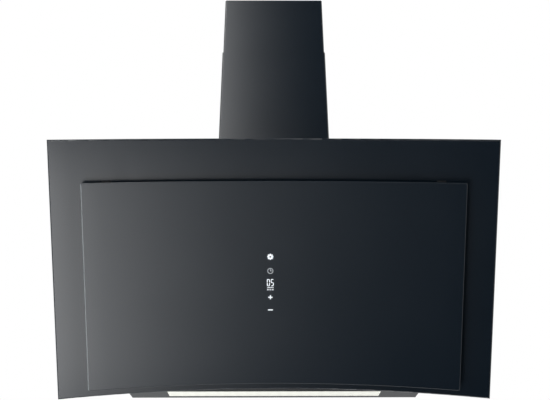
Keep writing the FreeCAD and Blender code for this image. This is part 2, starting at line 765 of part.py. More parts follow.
def touch_mask():
    """The light mask between the board and the glass, with a window for the display."""
    mask = control_block(
        CONTROL_WIDTH - 2 * CONTROL_FIT, CONTROL_FOOT + CONTROL_FIT,
        CONTROL_LENGTH - 2 * CONTROL_FIT, SHEET_LIFT, GLASS_LIFT,
    )
    hole = control_block(
        DISPLAY_WIDTH + 2 * CONTROL_FIT, DISPLAY_FOOT - CONTROL_FIT,
        DISPLAY_LENGTH + 2 * CONTROL_FIT, SHEET_LIFT - PAST, GLASS_LIFT + PAST,
    )
    return mask.cut(hole)


def touch_board():
    """The touch board behind the mask."""
    return control_block(
        CONTROL_WIDTH + 2 * BOARD_OVER, CONTROL_FOOT - BOARD_OVER,
        CONTROL_LENGTH + 2 * BOARD_OVER, SHEET_LIFT - BOARD, SHEET_LIFT,
    )


def touch_cover():
    """The plastic cover over the board, fixed to the rib."""
    over = BOARD_OVER + CONTROL_FIT
    width = CONTROL_WIDTH + 2 * over
    foot = CONTROL_FOOT - over
    length = CONTROL_LENGTH + 2 * over
    outer = control_block(
        width + 2 * COVER_WALL, foot - COVER_WALL, length + 2 * COVER_WALL,
        SHEET_LIFT - COVER_DEPTH, SHEET_LIFT,
    )
    inner = control_block(width, foot, length, SHEET_LIFT - COVER_DEPTH + COVER_WALL, GLASS_LIFT)
    return outer.cut(inner)


# ---------------------------------------------------------------- grease filters
def filter_frame(x):
    """The channel frame of one filter, with the two guides that its latch slides in."""
    half = FILTER_WIDTH / 2
    outer = rounded_box(
        x - half, x + half, FILTER_FOOT, FILTER_FOOT + FILTER_LENGTH,
        FACE, FILTER_FRONT, WINDOW_CORNER - FILTER_GAP,
    )
    reach = half - FILTER_RAIL
    inner = box(
        x - reach, x + reach, FILTER_FOOT + FILTER_RAIL,
        FILTER_FOOT + FILTER_LENGTH - FILTER_RAIL, FACE - PAST, FILTER_FRONT + PAST,
    )
    groove = box(
        x - reach - FILTER_GROOVE, x + reach + FILTER_GROOVE,
        FILTER_FOOT + FILTER_RAIL - FILTER_GROOVE,
        FILTER_FOOT + FILTER_LENGTH - FILTER_RAIL + FILTER_GROOVE,
        FACE + (FILTER_THICKNESS - FILTER_MESH) / 2, FACE + (FILTER_THICKNESS + FILTER_MESH) / 2,
    )
    body = outer.cut(inner).cut(groove)
    top = FILTER_FRONT + LATCH_CLEAR + LATCH_PLATE + LATCH_CLEAR
    inside = LATCH_W / 2 + LATCH_CLEAR
    foot = FILTER_FOOT + LATCH_GUIDE
    for side in (-1, 1):
        outside = x + side * (inside + LATCH_GUIDE)
        wall = x + side * inside
        edge = x + side * (inside - LATCH_GUIDE_LIP)
        height = foot + LATCH_L - 2 * LATCH_GUIDE
        post = box(min(outside, wall), max(outside, wall), foot, height, FILTER_FRONT, top)
        lip = box(
            min(outside, edge), max(outside, edge), foot, height, top, top + LATCH_GUIDE / 2
        )
        body = body.fuse(post).fuse(lip)
    return body.removeSplitter()


def filter_mesh(x):
    """The mesh pack of one filter, drawn as a plate with a grid of openings."""
    half = FILTER_WIDTH / 2 - FILTER_RAIL + FILTER_GROOVE
    foot = FILTER_FOOT + FILTER_RAIL - FILTER_GROOVE
    length = FILTER_LENGTH - 2 * (FILTER_RAIL - FILTER_GROOVE)
    low = FACE + (FILTER_THICKNESS - FILTER_MESH) / 2
    plate = box(x - half, x + half, foot, foot + length, low, low + FILTER_MESH)
    edge = FILTER_GROOVE + MESH_BAR
    cell_w = (2 * half - 2 * edge + MESH_BAR) / MESH_COLUMNS
    cell_l = (length - 2 * edge + MESH_BAR) / MESH_ROWS
    holes = []
    for column in range(MESH_COLUMNS):
        for row in range(MESH_ROWS):
            x0 = x - half + edge + column * cell_w
            y0 = foot + edge + row * cell_l
            holes.append(box(
                x0, x0 + cell_w - MESH_BAR, y0, y0 + cell_l - MESH_BAR, low - PAST,
                low + FILTER_MESH + PAST,
            ))
    return plate.cut(Part.makeCompound(holes))


def filter_latch(x):
    """The sliding latch of one filter: a plate, a finger lip, and a bolt through the frame's wall."""
    low = FILTER_FRONT + LATCH_CLEAR
    high = low + LATCH_PLATE
    foot = FILTER_FOOT + LATCH_FOOT
    plate = box(x - LATCH_W / 2, x + LATCH_W / 2, foot, foot + LATCH_L - LATCH_TRAVEL, low, high)
    finger = LATCH_W / 2 - LATCH_GUIDE_LIP - LATCH_GUIDE
    lip = box(
        x - finger, x + finger, foot + LATCH_L - LATCH_TRAVEL - LATCH_PLATE,
        foot + LATCH_L - LATCH_TRAVEL, high, high + LATCH_LIP,
    )
    bolt = box(
        x - BOLT_W / 2, x + BOLT_W / 2, WINDOW_FOOT - BOLT_REACH, foot, low, high
    )
    return plate.fuse(lip).fuse(bolt).removeSplitter()


def hook_strip():
    """The angle along the top of the window frame that the filters hook behind."""
    half = WINDOW_WIDTH / 2 - WINDOW_CORNER
    low = FILTER_FRONT + HOOK_CLEAR
    leg = box(-half, half, WINDOW_TOP - HOOK_STRIP_DEPTH, WINDOW_TOP, low, low + SHEET)
    foot = box(-half, half, WINDOW_TOP - SHEET, WINDOW_TOP, low, low + 4 * SHEET)
    return leg.fuse(foot).removeSplitter()


# ---------------------------------------------------------------- lamp
def lamp_lens():
    """The opal lens, flush with the underside, with walls and ridges that snap into the tray."""
    half = LAMP_LENGTH / 2
    plate = box(-half, half, -LENS_FRONT, -LENS_BACK, UNDERSIDE_Z, UNDERSIDE_Z + LENS)
    outer = box(-half, half, -LENS_FRONT, -LENS_BACK, UNDERSIDE_Z, UNDERSIDE_Z + LENS_WALL)
    inner = box(
        -half + LENS, half - LENS, -LENS_FRONT + LENS, -LENS_BACK - LENS,
        UNDERSIDE_Z - PAST, UNDERSIDE_Z + LENS_WALL + PAST,
    )
    body = plate.fuse(outer.cut(inner))
    top = UNDERSIDE_Z + LENS_WALL
    pitch = LAMP_LENGTH / SNAP_COUNT
    for i in range(SNAP_COUNT):
        x = -half + (i + 0.5) * pitch
        for y0, y1 in ((-LENS_FRONT - LAMP_FIT, -LENS_FRONT), (-LENS_BACK, -LENS_BACK + LAMP_FIT)):
            ridge = box(x - SNAP_LENGTH / 2, x + SNAP_LENGTH / 2, y0, y1, top - LENS, top)
            body = body.fuse(ridge)
    return body.removeSplitter()


def lamp_tray():
    """The steel tray over the lamp, standing on the underside's sheet."""
    x = LAMP_LENGTH / 2 + LAMP_FIT
    front = -LENS_FRONT - LAMP_FIT
    back = -LENS_BACK + LAMP_FIT
    floor = UNDERSIDE_Z + SHEET
    roof = floor + TRAY_HEIGHT
    inner = box(-x, x, front, back, floor - PAST, roof - TRAY_SHEET)
    outer = box(
        -x - TRAY_SHEET, x + TRAY_SHEET, front - TRAY_SHEET, back + TRAY_SHEET, floor, roof
    )
    return outer.cut(inner)


def led_board():
    """The strip board under the tray's roof, with its row of LEDs."""
    roof = UNDERSIDE_Z + SHEET + TRAY_HEIGHT - TRAY_SHEET
    middle = -(LENS_FRONT + LENS_BACK) / 2
    half = LAMP_LENGTH / 2 - LED_BOARD_END
    board = box(
        -half, half, middle - LED_BOARD_W / 2, middle + LED_BOARD_W / 2, roof - LED_BOARD, roof
    )
    pitch = 2 * half / LED_COUNT
    for i in range(LED_COUNT):
        x = -half + (i + 0.5) * pitch
        chip = box(
            x - LED_SIZE / 2, x + LED_SIZE / 2, middle - LED_SIZE / 2, middle + LED_SIZE / 2,
            roof - LED_BOARD - LED_HEIGHT, roof - LED_BOARD,
        )
        board = board.fuse(chip)
    return board


# ---------------------------------------------------------------- motor casing and blower
def tower_screw_places():
    """(x, y) of the screws through the motor casing's foot flanges."""
    x = TOWER_WIDTH / 2 - SHEET - TOWER_FLANGE / 2
    front = -TOWER_BACK - TOWER_DEPTH + TOWER_SCREW_INSET
    back = -TOWER_BACK - TOWER_SCREW_INSET
    return [(side * x, y) for side in (-1, 1) for y in (front, back)]


def front_screw_places():
    """(x, z) of the screws through the motor casing's front."""
    x = TOWER_WIDTH / 2 - SHEET - TOWER_FLANGE / 2
    heights = (CASING_TOP + TOWER_SCREW_INSET, TOWER_TOP - TOWER_SCREW_INSET)
    return [(side * x, z) for side in (-1, 1) for z in heights]


def motor_casing():
    """The blower's shell: back and sides folded from one sheet, with flanges at foot and front."""
    half = TOWER_WIDTH / 2
    back = -TOWER_BACK
    front = back - TOWER_DEPTH + SHEET
    roof = TOWER_TOP - SHEET
    outer = box(-half, half, front, back, CASING_TOP, roof)
    inner = box(
        -half + SHEET, half - SHEET, front - PAST, back - SHEET, CASING_TOP - PAST, roof + PAST
    )
    body = outer.cut(inner)
    for side in (-1, 1):
        wall = side * (half - SHEET)
        edge = side * (half - SHEET - TOWER_FLANGE)
        x0, x1 = min(wall, edge), max(wall, edge)
        foot = box(x0, x1, front, back - SHEET, CASING_TOP, CASING_TOP + SHEET)
        face = box(x0, x1, front, front + SHEET, CASING_TOP, roof)
        body = body.fuse(foot).fuse(face)
    for x, y in tower_screw_places():
        body = body.cut(rod(
            SCREW_R + SCREW_CLEAR, (x, y, CASING_TOP - PAST), (x, y, CASING_TOP + SHEET + PAST)
        ))
    for x, z in front_screw_places():
        body = body.cut(rod(SCREW_R, (x, front - PAST, z), (x, front + SHEET + PAST, z)))
    return body.removeSplitter()


def motor_casing_front():
    """The sheet that closes the front of the motor casing, for reaching the blower."""
    half = TOWER_WIDTH / 2
    front = -TOWER_BACK - TOWER_DEPTH
    body = box(-half, half, front, front + SHEET, CASING_TOP, TOWER_TOP - SHEET)
    for x, z in front_screw_places():
        body = body.cut(rod(
            SCREW_R + SCREW_CLEAR, (x, front - PAST, z), (x, front + SHEET + PAST, z)
        ))
    return body


def motor_casing_top():
    """The top sheet, with the outlet, the gland's hole and the holes for the collar's screws."""
    half = TOWER_WIDTH / 2
    back = -TOWER_BACK
    low = TOWER_TOP - SHEET
    body = box(-half, half, back - TOWER_DEPTH, back, low, TOWER_TOP)
    outlet = VOLUTE_MOUTH / 2 - VOLUTE_WALL
    holes = [(outlet, 0, COLLAR_Y), (GLAND_R, GLAND_X, -GLAND_OUT)]
    holes += [(COLLAR_SCREW_R, x, y) for x, y in collar_screw_places()]
    for radius, x, y in holes:
        body = body.cut(rod(radius, (x, y, low - PAST), (x, y, TOWER_TOP + PAST)))
    return body


def tower_screws():
    """Eight like screws: four hold the motor casing down, and four its front."""
    front = -TOWER_BACK - TOWER_DEPTH
    held_down = [
        pan_screw(x, y, CASING_TOP + SHEET, Vector(0, 0, 1)) for x, y in tower_screw_places()
    ]
    return held_down + [
        pan_screw(x, front, z, Vector(0, -1, 0)) for x, z in front_screw_places()
    ]


def volute_point(turn, x):
    """A point of the blower's spiral; the turn in degrees starts at the front and goes up."""
    share = (turn - VOLUTE_CUTOFF) / (360.0 - VOLUTE_CUTOFF)
    radius = VOLUTE_R_START + (VOLUTE_R_END - VOLUTE_R_START) * share
    angle = math.radians(turn)
    return Vector(
        x, VOLUTE_Y - radius * math.cos(angle), VOLUTE_Z + radius * math.sin(angle)
    )


def volute_face(x):
    """The inside of the blower's spiral and its widening mouth, as a face across X."""
    steps = 6
    step = (360.0 - VOLUTE_CUTOFF) / steps
    edges = []
    for i in range(steps):
        turn = VOLUTE_CUTOFF + i * step
        edges.append(Part.Arc(
            volute_point(turn, x), volute_point(turn + step / 2, x), volute_point(turn + step, x)
        ).toShape())
    top = TOWER_TOP - SHEET
    start = volute_point(VOLUTE_CUTOFF, x)
    end = volute_point(360.0, x)
    front_top = Vector(x, end.y, top)
    back_top = Vector(x, end.y + VOLUTE_MOUTH, top)
    for a, b in ((end, front_top), (front_top, back_top), (back_top, start)):
        edges.append(Part.LineSegment(a, b).toShape())
    return Part.Face(Part.Wire(edges))


def volute_half(side):
    """One moulded half of the blower housing: half of the spiral wall and a side with its inlet."""
    inner_face = volute_face(0)
    outer_face = inner_face.makeOffset2D(VOLUTE_WALL, join=2)
    half = VOLUTE_WIDTH / 2
    outer = outer_face.extrude(Vector(side * half, 0, 0))
    inner = inner_face.extrude(Vector(side * (half - VOLUTE_WALL), 0, 0))
    roof = TOWER_TOP - SHEET
    throat = box(
        min(0, side * (half - VOLUTE_WALL)), max(0, side * (half - VOLUTE_WALL)),
        VOLUTE_Y - VOLUTE_R_END, VOLUTE_Y - VOLUTE_R_END + VOLUTE_MOUTH, roof - PAST / 2,
        roof + PAST,
    )
    above = box(-half - PAST, half + PAST, -FLUE_DEPTH, 0, roof, TOWER_TOP + VOLUTE_WALL)
    body = outer.cut(inner).cut(throat).cut(above)
    x0 = side * (half - VOLUTE_WALL)
    x1 = side * (half + INLET_LIP)
    lip = tube(
        INLET_R + INLET_LIP, INLET_R, (x0, VOLUTE_Y, VOLUTE_Z), (x1, VOLUTE_Y, VOLUTE_Z)
    )
    hole = rod(
        INLET_R, (x0 - side * PAST, VOLUTE_Y, VOLUTE_Z), (x1 + side * PAST, VOLUTE_Y, VOLUTE_Z)
    )
    return body.fuse(lip).cut(hole).removeSplitter()


def blade(angle, side):
    """One forward-curved blade of the wheel."""
    turn = math.radians(angle)
    lean = math.radians(BLADE_LEAN)
    middle_r = (WHEEL_INNER_R + WHEEL_R) / 2
    inner = (WHEEL_INNER_R, turn)
    middle = (middle_r, turn - lean * 0.25)
    outer = (WHEEL_R - 0.5, turn + lean)
    thick = WHEEL_BLADE / WHEEL_R
    path = [inner, middle, outer]
    ring = path + [(radius, a + thick) for radius, a in reversed(path)]
    points = [(VOLUTE_Y + r * math.cos(a), VOLUTE_Z + r * math.sin(a)) for r, a in ring]
    x0 = side * WHEEL_DISC / 2 * 0.5
    x1 = side * (WHEEL_HALF - WHEEL_RING / 2)
    return polygon_prism(points, x0, x1)


def blower_wheel():
    """The double-inlet wheel: a middle disc, two rows of blades, two end rings and a hub."""
    centre = (VOLUTE_Y, VOLUTE_Z)
    disc = rod(WHEEL_R - 1, (-WHEEL_DISC / 2, *centre), (WHEEL_DISC / 2, *centre))
    hub = rod(WHEEL_HUB_R, (-MOTOR_GAP / 2, *centre), (WHEEL_HUB_R, *centre))
    pieces = [hub]
    for side in (-1, 1):
        end = side * WHEEL_HALF
        pieces.append(tube(
            WHEEL_R + 1, WHEEL_R - WHEEL_RING, (end - side * WHEEL_RING, *centre), (end, *centre)
        ))
        for i in range(WHEEL_BLADES):
            pieces.append(blade(360.0 / WHEEL_BLADES * i, side))
    body = disc.multiFuse(pieces)
    bore = rod(SHAFT_R, (-WHEEL_HALF, *centre), (WHEEL_HALF, *centre))
    return body.cut(bore).removeSplitter()


def motor_face_x():
    """X of the motor's face beside the wheel."""
    return -WHEEL_DISC / 2 - MOTOR_GAP


def motor():
    """The motor inside the wheel's left half, with its rear flange and shaft bore."""
    centre = (VOLUTE_Y, VOLUTE_Z)
    face = motor_face_x()
    can = rod(MOTOR_R, (face - MOTOR_LENGTH, *centre), (face, *centre))
    rear = face - MOTOR_LENGTH
    tail = rod(MOTOR_R * 0.5, (rear - MOTOR_TAIL, *centre), (rear, *centre))
    bore = rod(SHAFT_R + SHAFT_FIT, (face - MOTOR_BORE, *centre), (face + PAST, *centre))
    return can.fuse(tail).cut(bore).removeSplitter()


def motor_shaft():
    """The shaft from the motor through the wheel's hub."""
    centre = (VOLUTE_Y, VOLUTE_Z)
    start = motor_face_x() - MOTOR_BORE + PAST
    return rod(SHAFT_R, (start, *centre), (WHEEL_HUB_R + SHAFT_TAIL, *centre))


def bracket_places():
    """(y, z) of the three feet of the motor's bracket."""
    reach = INLET_R + INLET_LIP + BRACKET_FOOT_OUT
    return [
        (VOLUTE_Y + a, VOLUTE_Z + b) for a, b in ring_points(3, reach, 90)
    ]


def bracket_x():
    """X of the outer face of the grommets, where the bracket's feet sit."""
    return -VOLUTE_WIDTH / 2 - INLET_LIP - GROMMET_PROUD


def motor_bracket():
    """The three-armed bracket that carries the motor across the left inlet."""
    x1 = bracket_x()
    x0 = x1 - BRACKET_SHEET
    centre = (VOLUTE_Y, VOLUTE_Z)
    body = rod(MOTOR_R * 0.75, (x0, *centre), (x1, *centre))
    for y, z in bracket_places():
        reach = math.hypot(y - VOLUTE_Y, z - VOLUTE_Z)
        arm = box(x0, x1, 0, reach, -BRACKET_ARM_W / 2, BRACKET_ARM_W / 2)
        turn = math.degrees(math.atan2(z - VOLUTE_Z, y - VOLUTE_Y))
        arm.rotate(Vector(0, 0, 0), Vector(1, 0, 0), turn)
        arm.translate(Vector(0, *centre))
        foot = rod(GROMMET_R + BRACKET_FOOT_OVER, (x0, y, z), (x1, y, z))
        body = body.fuse(arm).fuse(foot)
    neck_end = motor_face_x() - MOTOR_LENGTH - MOTOR_TAIL
    neck = rod(MOTOR_R * 0.4, (x1, *centre), (neck_end, *centre))
    return body.fuse(neck).removeSplitter()


def grommets():
    """Rubber feet between the bracket and the blower housing."""
    x0 = bracket_x()
    x1 = -VOLUTE_WIDTH / 2
    return [rod(GROMMET_R, (x0, y, z), (x1, y, z)) for y, z in bracket_places()]


def capacitor_axis():
    """(x, y) of the capacitor's middle, a clip's thickness off the right wall."""
    x = TOWER_WIDTH / 2 - SHEET - CLIP_SHEET - CAPACITOR_R
    return x, -TOWER_BACK - SHEET - CAPACITOR_R - CLIP_TAB - CLIP_CORNER_GAP


def capacitor():
    """The motor's capacitor, with its stud downwards."""
    x, y = capacitor_axis()
    z = CASING_TOP + CAPACITOR_RISE
    can = rod(CAPACITOR_R, (x, y, z), (x, y, z + CAPACITOR_H))
    stud = rod(CAPACITOR_R * 0.3, (x, y, z - CAPACITOR_STUD), (x, y, z))
    return can.fuse(stud).removeSplitter()


def capacitor_clip():
    """The strap round the capacitor, with a tab on the motor casing's right wall."""
    x, y = capacitor_axis()
    z = CASING_TOP + CAPACITOR_RISE + (CAPACITOR_H - CLIP_HEIGHT) / 2
    outer = CAPACITOR_R + CLIP_SHEET
    ring = tube(outer, CAPACITOR_R, (x, y, z), (x, y, z + CLIP_HEIGHT))
    wall = x + outer
    tab = box(wall - CLIP_SHEET, wall, y, y + outer + CLIP_TAB, z, z + CLIP_HEIGHT)
    return ring.fuse(tab.cut(rod(CAPACITOR_R, (x, y, z), (x, y, z + CLIP_HEIGHT)))).removeSplitter()


# ---------------------------------------------------------------- outlet collar and flaps
def collar_screw_places():
    """(x, y) of the collar's screws."""
    reach = (COLLAR_R + COLLAR_FLANGE_R) / 2
    return [(x, COLLAR_Y + y) for x, y in ring_points(COLLAR_SCREWS, reach, 45)]


def outlet_collar():
    """The round collar: flange, spigot, and the ledge that seats the flaps."""
    base = TOWER_TOP
    top = base + COLLAR_HEIGHT
    inner = COLLAR_R - COLLAR_WALL
    seat_top = FLAP_Z - FLAP_THICKNESS / 2 - FLAP_SEAT_GAP
    points = [
        (inner, base), (COLLAR_FLANGE_R, base), (COLLAR_FLANGE_R, base + COLLAR_FLANGE),
        (COLLAR_R, base + COLLAR_FLANGE), (COLLAR_R, top), (inner, top), (inner, seat_top),
        (inner - FLAP_SEAT, seat_top), (inner - FLAP_SEAT, seat_top - COLLAR_WALL),
        (inner, seat_top - COLLAR_WALL),
    ]
    corners = [Vector(radius, 0, z) for radius, z in points]
    face = Part.Face(Part.makePolygon(corners + corners[:1]))
    body = face.revolve(Vector(0, 0, 0), Vector(0, 0, 1), 360)
    body = body if isinstance(body, Part.Solid) else Part.Solid(body.Shells[0])
    body.translate(Vector(0, COLLAR_Y, 0))
    for x, y in collar_screw_places():
        body = body.cut(rod(
            COLLAR_SCREW_R + SCREW_CLEAR, (x, y, base - PAST), (x, y, base + COLLAR_FLANGE + PAST)
        ))
    for side in (-1, 1):
        y = COLLAR_Y + side * FLAP_PIN_OFFSET
        reach = COLLAR_R - FLAP_PIN_SHORT
        body = body.cut(rod(FLAP_PIN_R, (-reach, y, FLAP_Z), (reach, y, FLAP_Z)))
    return body


def collar_screws():
    """The screws through the collar's flange."""
    pieces = []
    for x, y in collar_screw_places():
        base = TOWER_TOP + COLLAR_FLANGE
        head = rod(COLLAR_HEAD_R, (x, y, base), (x, y, base + COLLAR_HEAD))
        thread = rod(COLLAR_SCREW_R, (x, y, TOWER_TOP - COLLAR_SCREW_REACH), (x, y, base))
        pieces.append(head.fuse(thread).removeSplitter())
    return pieces


def flap_pins():
    """Two pins across the collar, one for each flap."""
    reach = COLLAR_R - FLAP_PIN_SHORT
    pins = []
    for side in (-1, 1):
        y = COLLAR_Y + side * FLAP_PIN_OFFSET
        pins.append(rod(FLAP_PIN_R, (-reach, y, FLAP_Z), (reach, y, FLAP_Z)))
    return pins


def flap(side):
    """One half-round flap with two knuckles on its pin; side is -1 at the front, 1 at the back."""
    radius = COLLAR_R - COLLAR_WALL - FLAP_GAP
    low = FLAP_Z - FLAP_THICKNESS / 2
    disc = rod(radius, (0, COLLAR_Y, low), (0, COLLAR_Y, low + FLAP_THICKNESS))
    pin_y = COLLAR_Y + side * FLAP_PIN_OFFSET
    edge = pin_y + side * FLAP_KNUCKLE_R * 0.5
    far = COLLAR_Y + side * (radius + PAST)
    keep = box(
        -radius - PAST, radius + PAST, min(edge, far), max(edge, far),
        low - PAST, low + FLAP_THICKNESS + PAST,
    )
    body = disc.common(keep)
    bore = rod(FLAP_PIN_R + FLAP_PIN_FIT, (-radius, pin_y, FLAP_Z), (radius, pin_y, FLAP_Z))
    for x in (-FLAP_KNUCKLE_X, FLAP_KNUCKLE_X):
        x0 = x - FLAP_KNUCKLE_L / 2
        body = body.fuse(rod(
            FLAP_KNUCKLE_R, (x0, pin_y, FLAP_Z), (x0 + FLAP_KNUCKLE_L, pin_y, FLAP_Z)
        ))
    return body.cut(bore).removeSplitter()


# ---------------------------------------------------------------- flue covers
def flue_section(inset, z0, z1):
    """A three-sided cover with inward folds at the wall, set in from the outer cover by inset."""
    half = FLUE_WIDTH / 2 - inset
    front = -FLUE_DEPTH + inset
    back = -inset
    outer = box(-half, half, front, back, z0, z1)
    front_edges = [
        edge for edge in upright_edges(outer, Vector(0, 0, 1))
        if abs(edge.Vertexes[0].Point.y - front) < 0.01
    ]
    outer = outer.makeFillet(FLUE_BEND, front_edges)
    inner = box(
        -half + FLUE_SHEET, half - FLUE_SHEET, front + FLUE_SHEET, back - FLUE_SHEET,
        z0 - PAST, z1 + PAST,
    )
    front_edges = [
        edge for edge in upright_edges(inner, Vector(0, 0, 1))
        if abs(edge.Vertexes[0].Point.y - front - FLUE_SHEET) < 0.01
    ]
    inner = inner.makeFillet(FLUE_BEND - FLUE_SHEET, front_edges)
    gap = half - FLUE_FOLD
    slot = box(-gap, gap, back - FLUE_SHEET - PAST, back + PAST, z0 - PAST, z1 + PAST)
    return outer.cut(inner).cut(slot)


def lower_flue():
    """The outer cover, standing on the casing."""
    return flue_section(0, CASING_TOP, FLUE_SEAM)


def flue_locators():
    """Two small angles on the casing's top that hold the foot of the lower cover from inside."""
    pieces = []
    wall = FLUE_WIDTH / 2 - FLUE_SHEET
    middle = -FLUE_DEPTH / 2
    for side in (-1, 1):
        edges = [side * wall, side * (wall - LOCATOR_SHEET), side * (wall - LOCATOR_FOOT)]
        leg = box(
            min(edges[:2]), max(edges[:2]), middle - LOCATOR_LENGTH / 2,
            middle + LOCATOR_LENGTH / 2, CASING_TOP, CASING_TOP + LOCATOR_HEIGHT,
        )
        foot = box(
            min(edges), max(edges), middle - LOCATOR_LENGTH / 2,
            middle + LOCATOR_LENGTH / 2, CASING_TOP, CASING_TOP + LOCATOR_SHEET,
        )
        pieces.append(leg.fuse(foot).removeSplitter())
    return pieces


def upper_inset():
    """How far the upper cover's outside lies inside the lower cover's."""
    return FLUE_SHEET + FLUE_FIT


def upper_flue():
    """The inner cover, which slides in the lower one, with vent slots near the top of each side."""
    body = flue_section(upper_inset(), FLUE_TOP - UPPER_FLUE_LENGTH, FLUE_TOP)
    middle = -FLUE_DEPTH / 2
    slots = []
    for i in range(VENT_COUNT):
        z = FLUE_TOP - VENT_TOP - i * VENT_PITCH
        slots.append(box(
            -FLUE_WIDTH, FLUE_WIDTH, middle - VENT_LENGTH / 2, middle + VENT_LENGTH / 2,
            z - VENT_WIDTH, z,
        ))
    for screw_hole in flue_screw_shapes():
        slots.append(screw_hole)
    return body.cut(Part.makeCompound(slots))


def ceiling_bracket():
    """The bracket inside the top of the upper cover: a wall plate and two side arms."""
    inset = upper_inset() + FLUE_SHEET
    half = FLUE_WIDTH / 2 - inset
    top = FLUE_TOP - CEILING_DROP
    low = top - CEILING_HEIGHT
    body = box(-half, half, -inset - CEILING_SHEET, -inset, low, top)
    tab_half = half - FLUE_FOLD - CEILING_TAB_GAP
    body = body.fuse(box(-tab_half, tab_half, -inset - CEILING_SHEET, 0, low, low + CEILING_SHEET))
    body = body.fuse(box(-tab_half, tab_half, -CEILING_SHEET, 0, low, top))
    for side in (-1, 1):
        x0 = side * half
        x1 = side * (half - CEILING_SHEET)
        body = body.fuse(box(
            min(x0, x1), max(x0, x1), -inset - CEILING_SIDE, -inset, low, top
        ))
    for x in (-CEILING_HOLE_SPAN / 2, CEILING_HOLE_SPAN / 2):
        z = (low + top) / 2
        body = body.cut(rod(CEILING_HOLE_R, (x, -inset - CEILING_SHEET - PAST, z), (x, PAST, z)))
    return body.cut(Part.makeCompound(flue_screw_shapes())).removeSplitter()


def flue_screw_shapes():
    """Two countersunk screws, flush with the sides of the upper cover."""
    inset = upper_inset()
    z = FLUE_TOP - CEILING_DROP - CEILING_HEIGHT / 2
    y = -inset - FLUE_SHEET - CEILING_SIDE + FLUE_SCREW_INSET
    pieces = []
    for side in (-1, 1):
        outside = side * (FLUE_WIDTH / 2 - inset)
        direction = Vector(-side, 0, 0)
        start = Vector(outside, y, z)
        head = Part.makeCone(
            FLUE_SCREW_HEAD_R, FLUE_SCREW_R, FLUE_SCREW_HEAD, start, direction
        )
        thread = Part.makeCylinder(FLUE_SCREW_R, FLUE_SCREW_LENGTH, start, direction)
        pieces.append(head.fuse(thread).removeSplitter())
    return pieces


# ---------------------------------------------------------------- electrics
def power_corner():
    """(x, z) of the power box's lower left corner; its back is on the casing's back sheet."""
    return (-CASING_WIDTH / 2 + SHEET + POWER_SIDE_GAP, UNDERSIDE_Z + POWER_RISE)


def power_box():
    """The open box that holds the power board."""
    x, z = power_corner()
    outer = box(x, x + POWER_W, -SHEET - POWER_D, -SHEET, z, z + POWER_H)
    inner = box(
        x + POWER_WALL, x + POWER_W - POWER_WALL, -SHEET - POWER_D - PAST, -SHEET - POWER_WALL,
        z + POWER_WALL, z + POWER_H - POWER_WALL,
    )
    return outer.cut(inner)


def power_board():
    """The power board, with its transformer, two relays and a row of terminals."""
    x, z = power_corner()
    back = -SHEET - POWER_WALL - SPACER_LENGTH
    edge = POWER_WALL + POWER_EDGE
    front = back - BOARD
    board = box(x + edge, x + POWER_W - edge, front, back, z + edge, z + POWER_H - edge)
    left = x + POWER_MARGIN
    right = x + POWER_W - POWER_MARGIN
    low = z + POWER_MARGIN
    high = z + POWER_H - POWER_MARGIN
    parts = [
        box(left, left + TRANSFORMER_W, front - TRANSFORMER_D, front, low, low + TRANSFORMER_H),
        box(left, right, front - TERMINAL_H, front, high - TERMINAL_H, high),
    ]
    for foot in (low, low + RELAY_PITCH):
        parts.append(box(right - RELAY_W, right, front - RELAY_H, front, foot, foot + RELAY_H))
    for sx in (SPACER_INSET, POWER_W - SPACER_INSET):
        for sz in (SPACER_INSET, POWER_H - SPACER_INSET):
            foot = (x + sx, back, z + sz)
            parts.append(rod(SPACER_R, foot, (x + sx, -SHEET - POWER_WALL, z + sz)))
    return board.multiFuse(parts).removeSplitter()


def power_cover():
    """The lid of the power box."""
    x, z = power_corner()
    front = -SHEET - POWER_D
    lid = box(x, x + POWER_W, front - POWER_WALL, front, z, z + POWER_H)
    edge = POWER_WALL + COVER_FIT
    plug = box(
        x + edge, x + POWER_W - edge, front, front + COVER_PLUG, z + edge, z + POWER_H - edge
    )
    return lid.fuse(plug).removeSplitter()


def mains_gland():
    """The gland on top of the motor casing that the supply lead enters by."""
    low = TOWER_TOP - GLAND_BELOW
    top = low + GLAND_LENGTH
    barrel = rod(GLAND_R - GLAND_FIT, (GLAND_X, -GLAND_OUT, low), (GLAND_X, -GLAND_OUT, top))
    pieces = []
    for z, height in ((TOWER_TOP, GLAND_NUT_H), (TOWER_TOP - SHEET - GLAND_LOCK_H, GLAND_LOCK_H)):
        corners = [
            Vector(GLAND_X + a, -GLAND_OUT + b, z) for a, b in ring_points(6, GLAND_NUT)
        ]
        nut = Part.Face(Part.makePolygon(corners + corners[:1])).extrude(Vector(0, 0, height))
        pieces.append(nut)
    bore = rod(GLAND_BORE_R, (GLAND_X, -GLAND_OUT, low - PAST), (GLAND_X, -GLAND_OUT, top + PAST))
    return barrel.multiFuse(pieces).cut(bore).removeSplitter()


def lamp_driver():
    """The lamp's driver, with a tab at each end, on the inside of the casing's back sheet."""
    z = UNDERSIDE_Z + DRIVER_RISE
    back = -SHEET
    case = rounded_box(
        DRIVER_X, DRIVER_X + DRIVER_W, back - DRIVER_D, back, z, z + DRIVER_H, DRIVER_CORNER,
        Vector(0, 1, 0),
    )
    tabs = box(
        DRIVER_X - DRIVER_TAB, DRIVER_X + DRIVER_W + DRIVER_TAB, back - DRIVER_TAB_SHEET, back,
        z + DRIVER_H / 4, z + DRIVER_H * 3 / 4,
    )
    return case.fuse(tabs).removeSplitter()


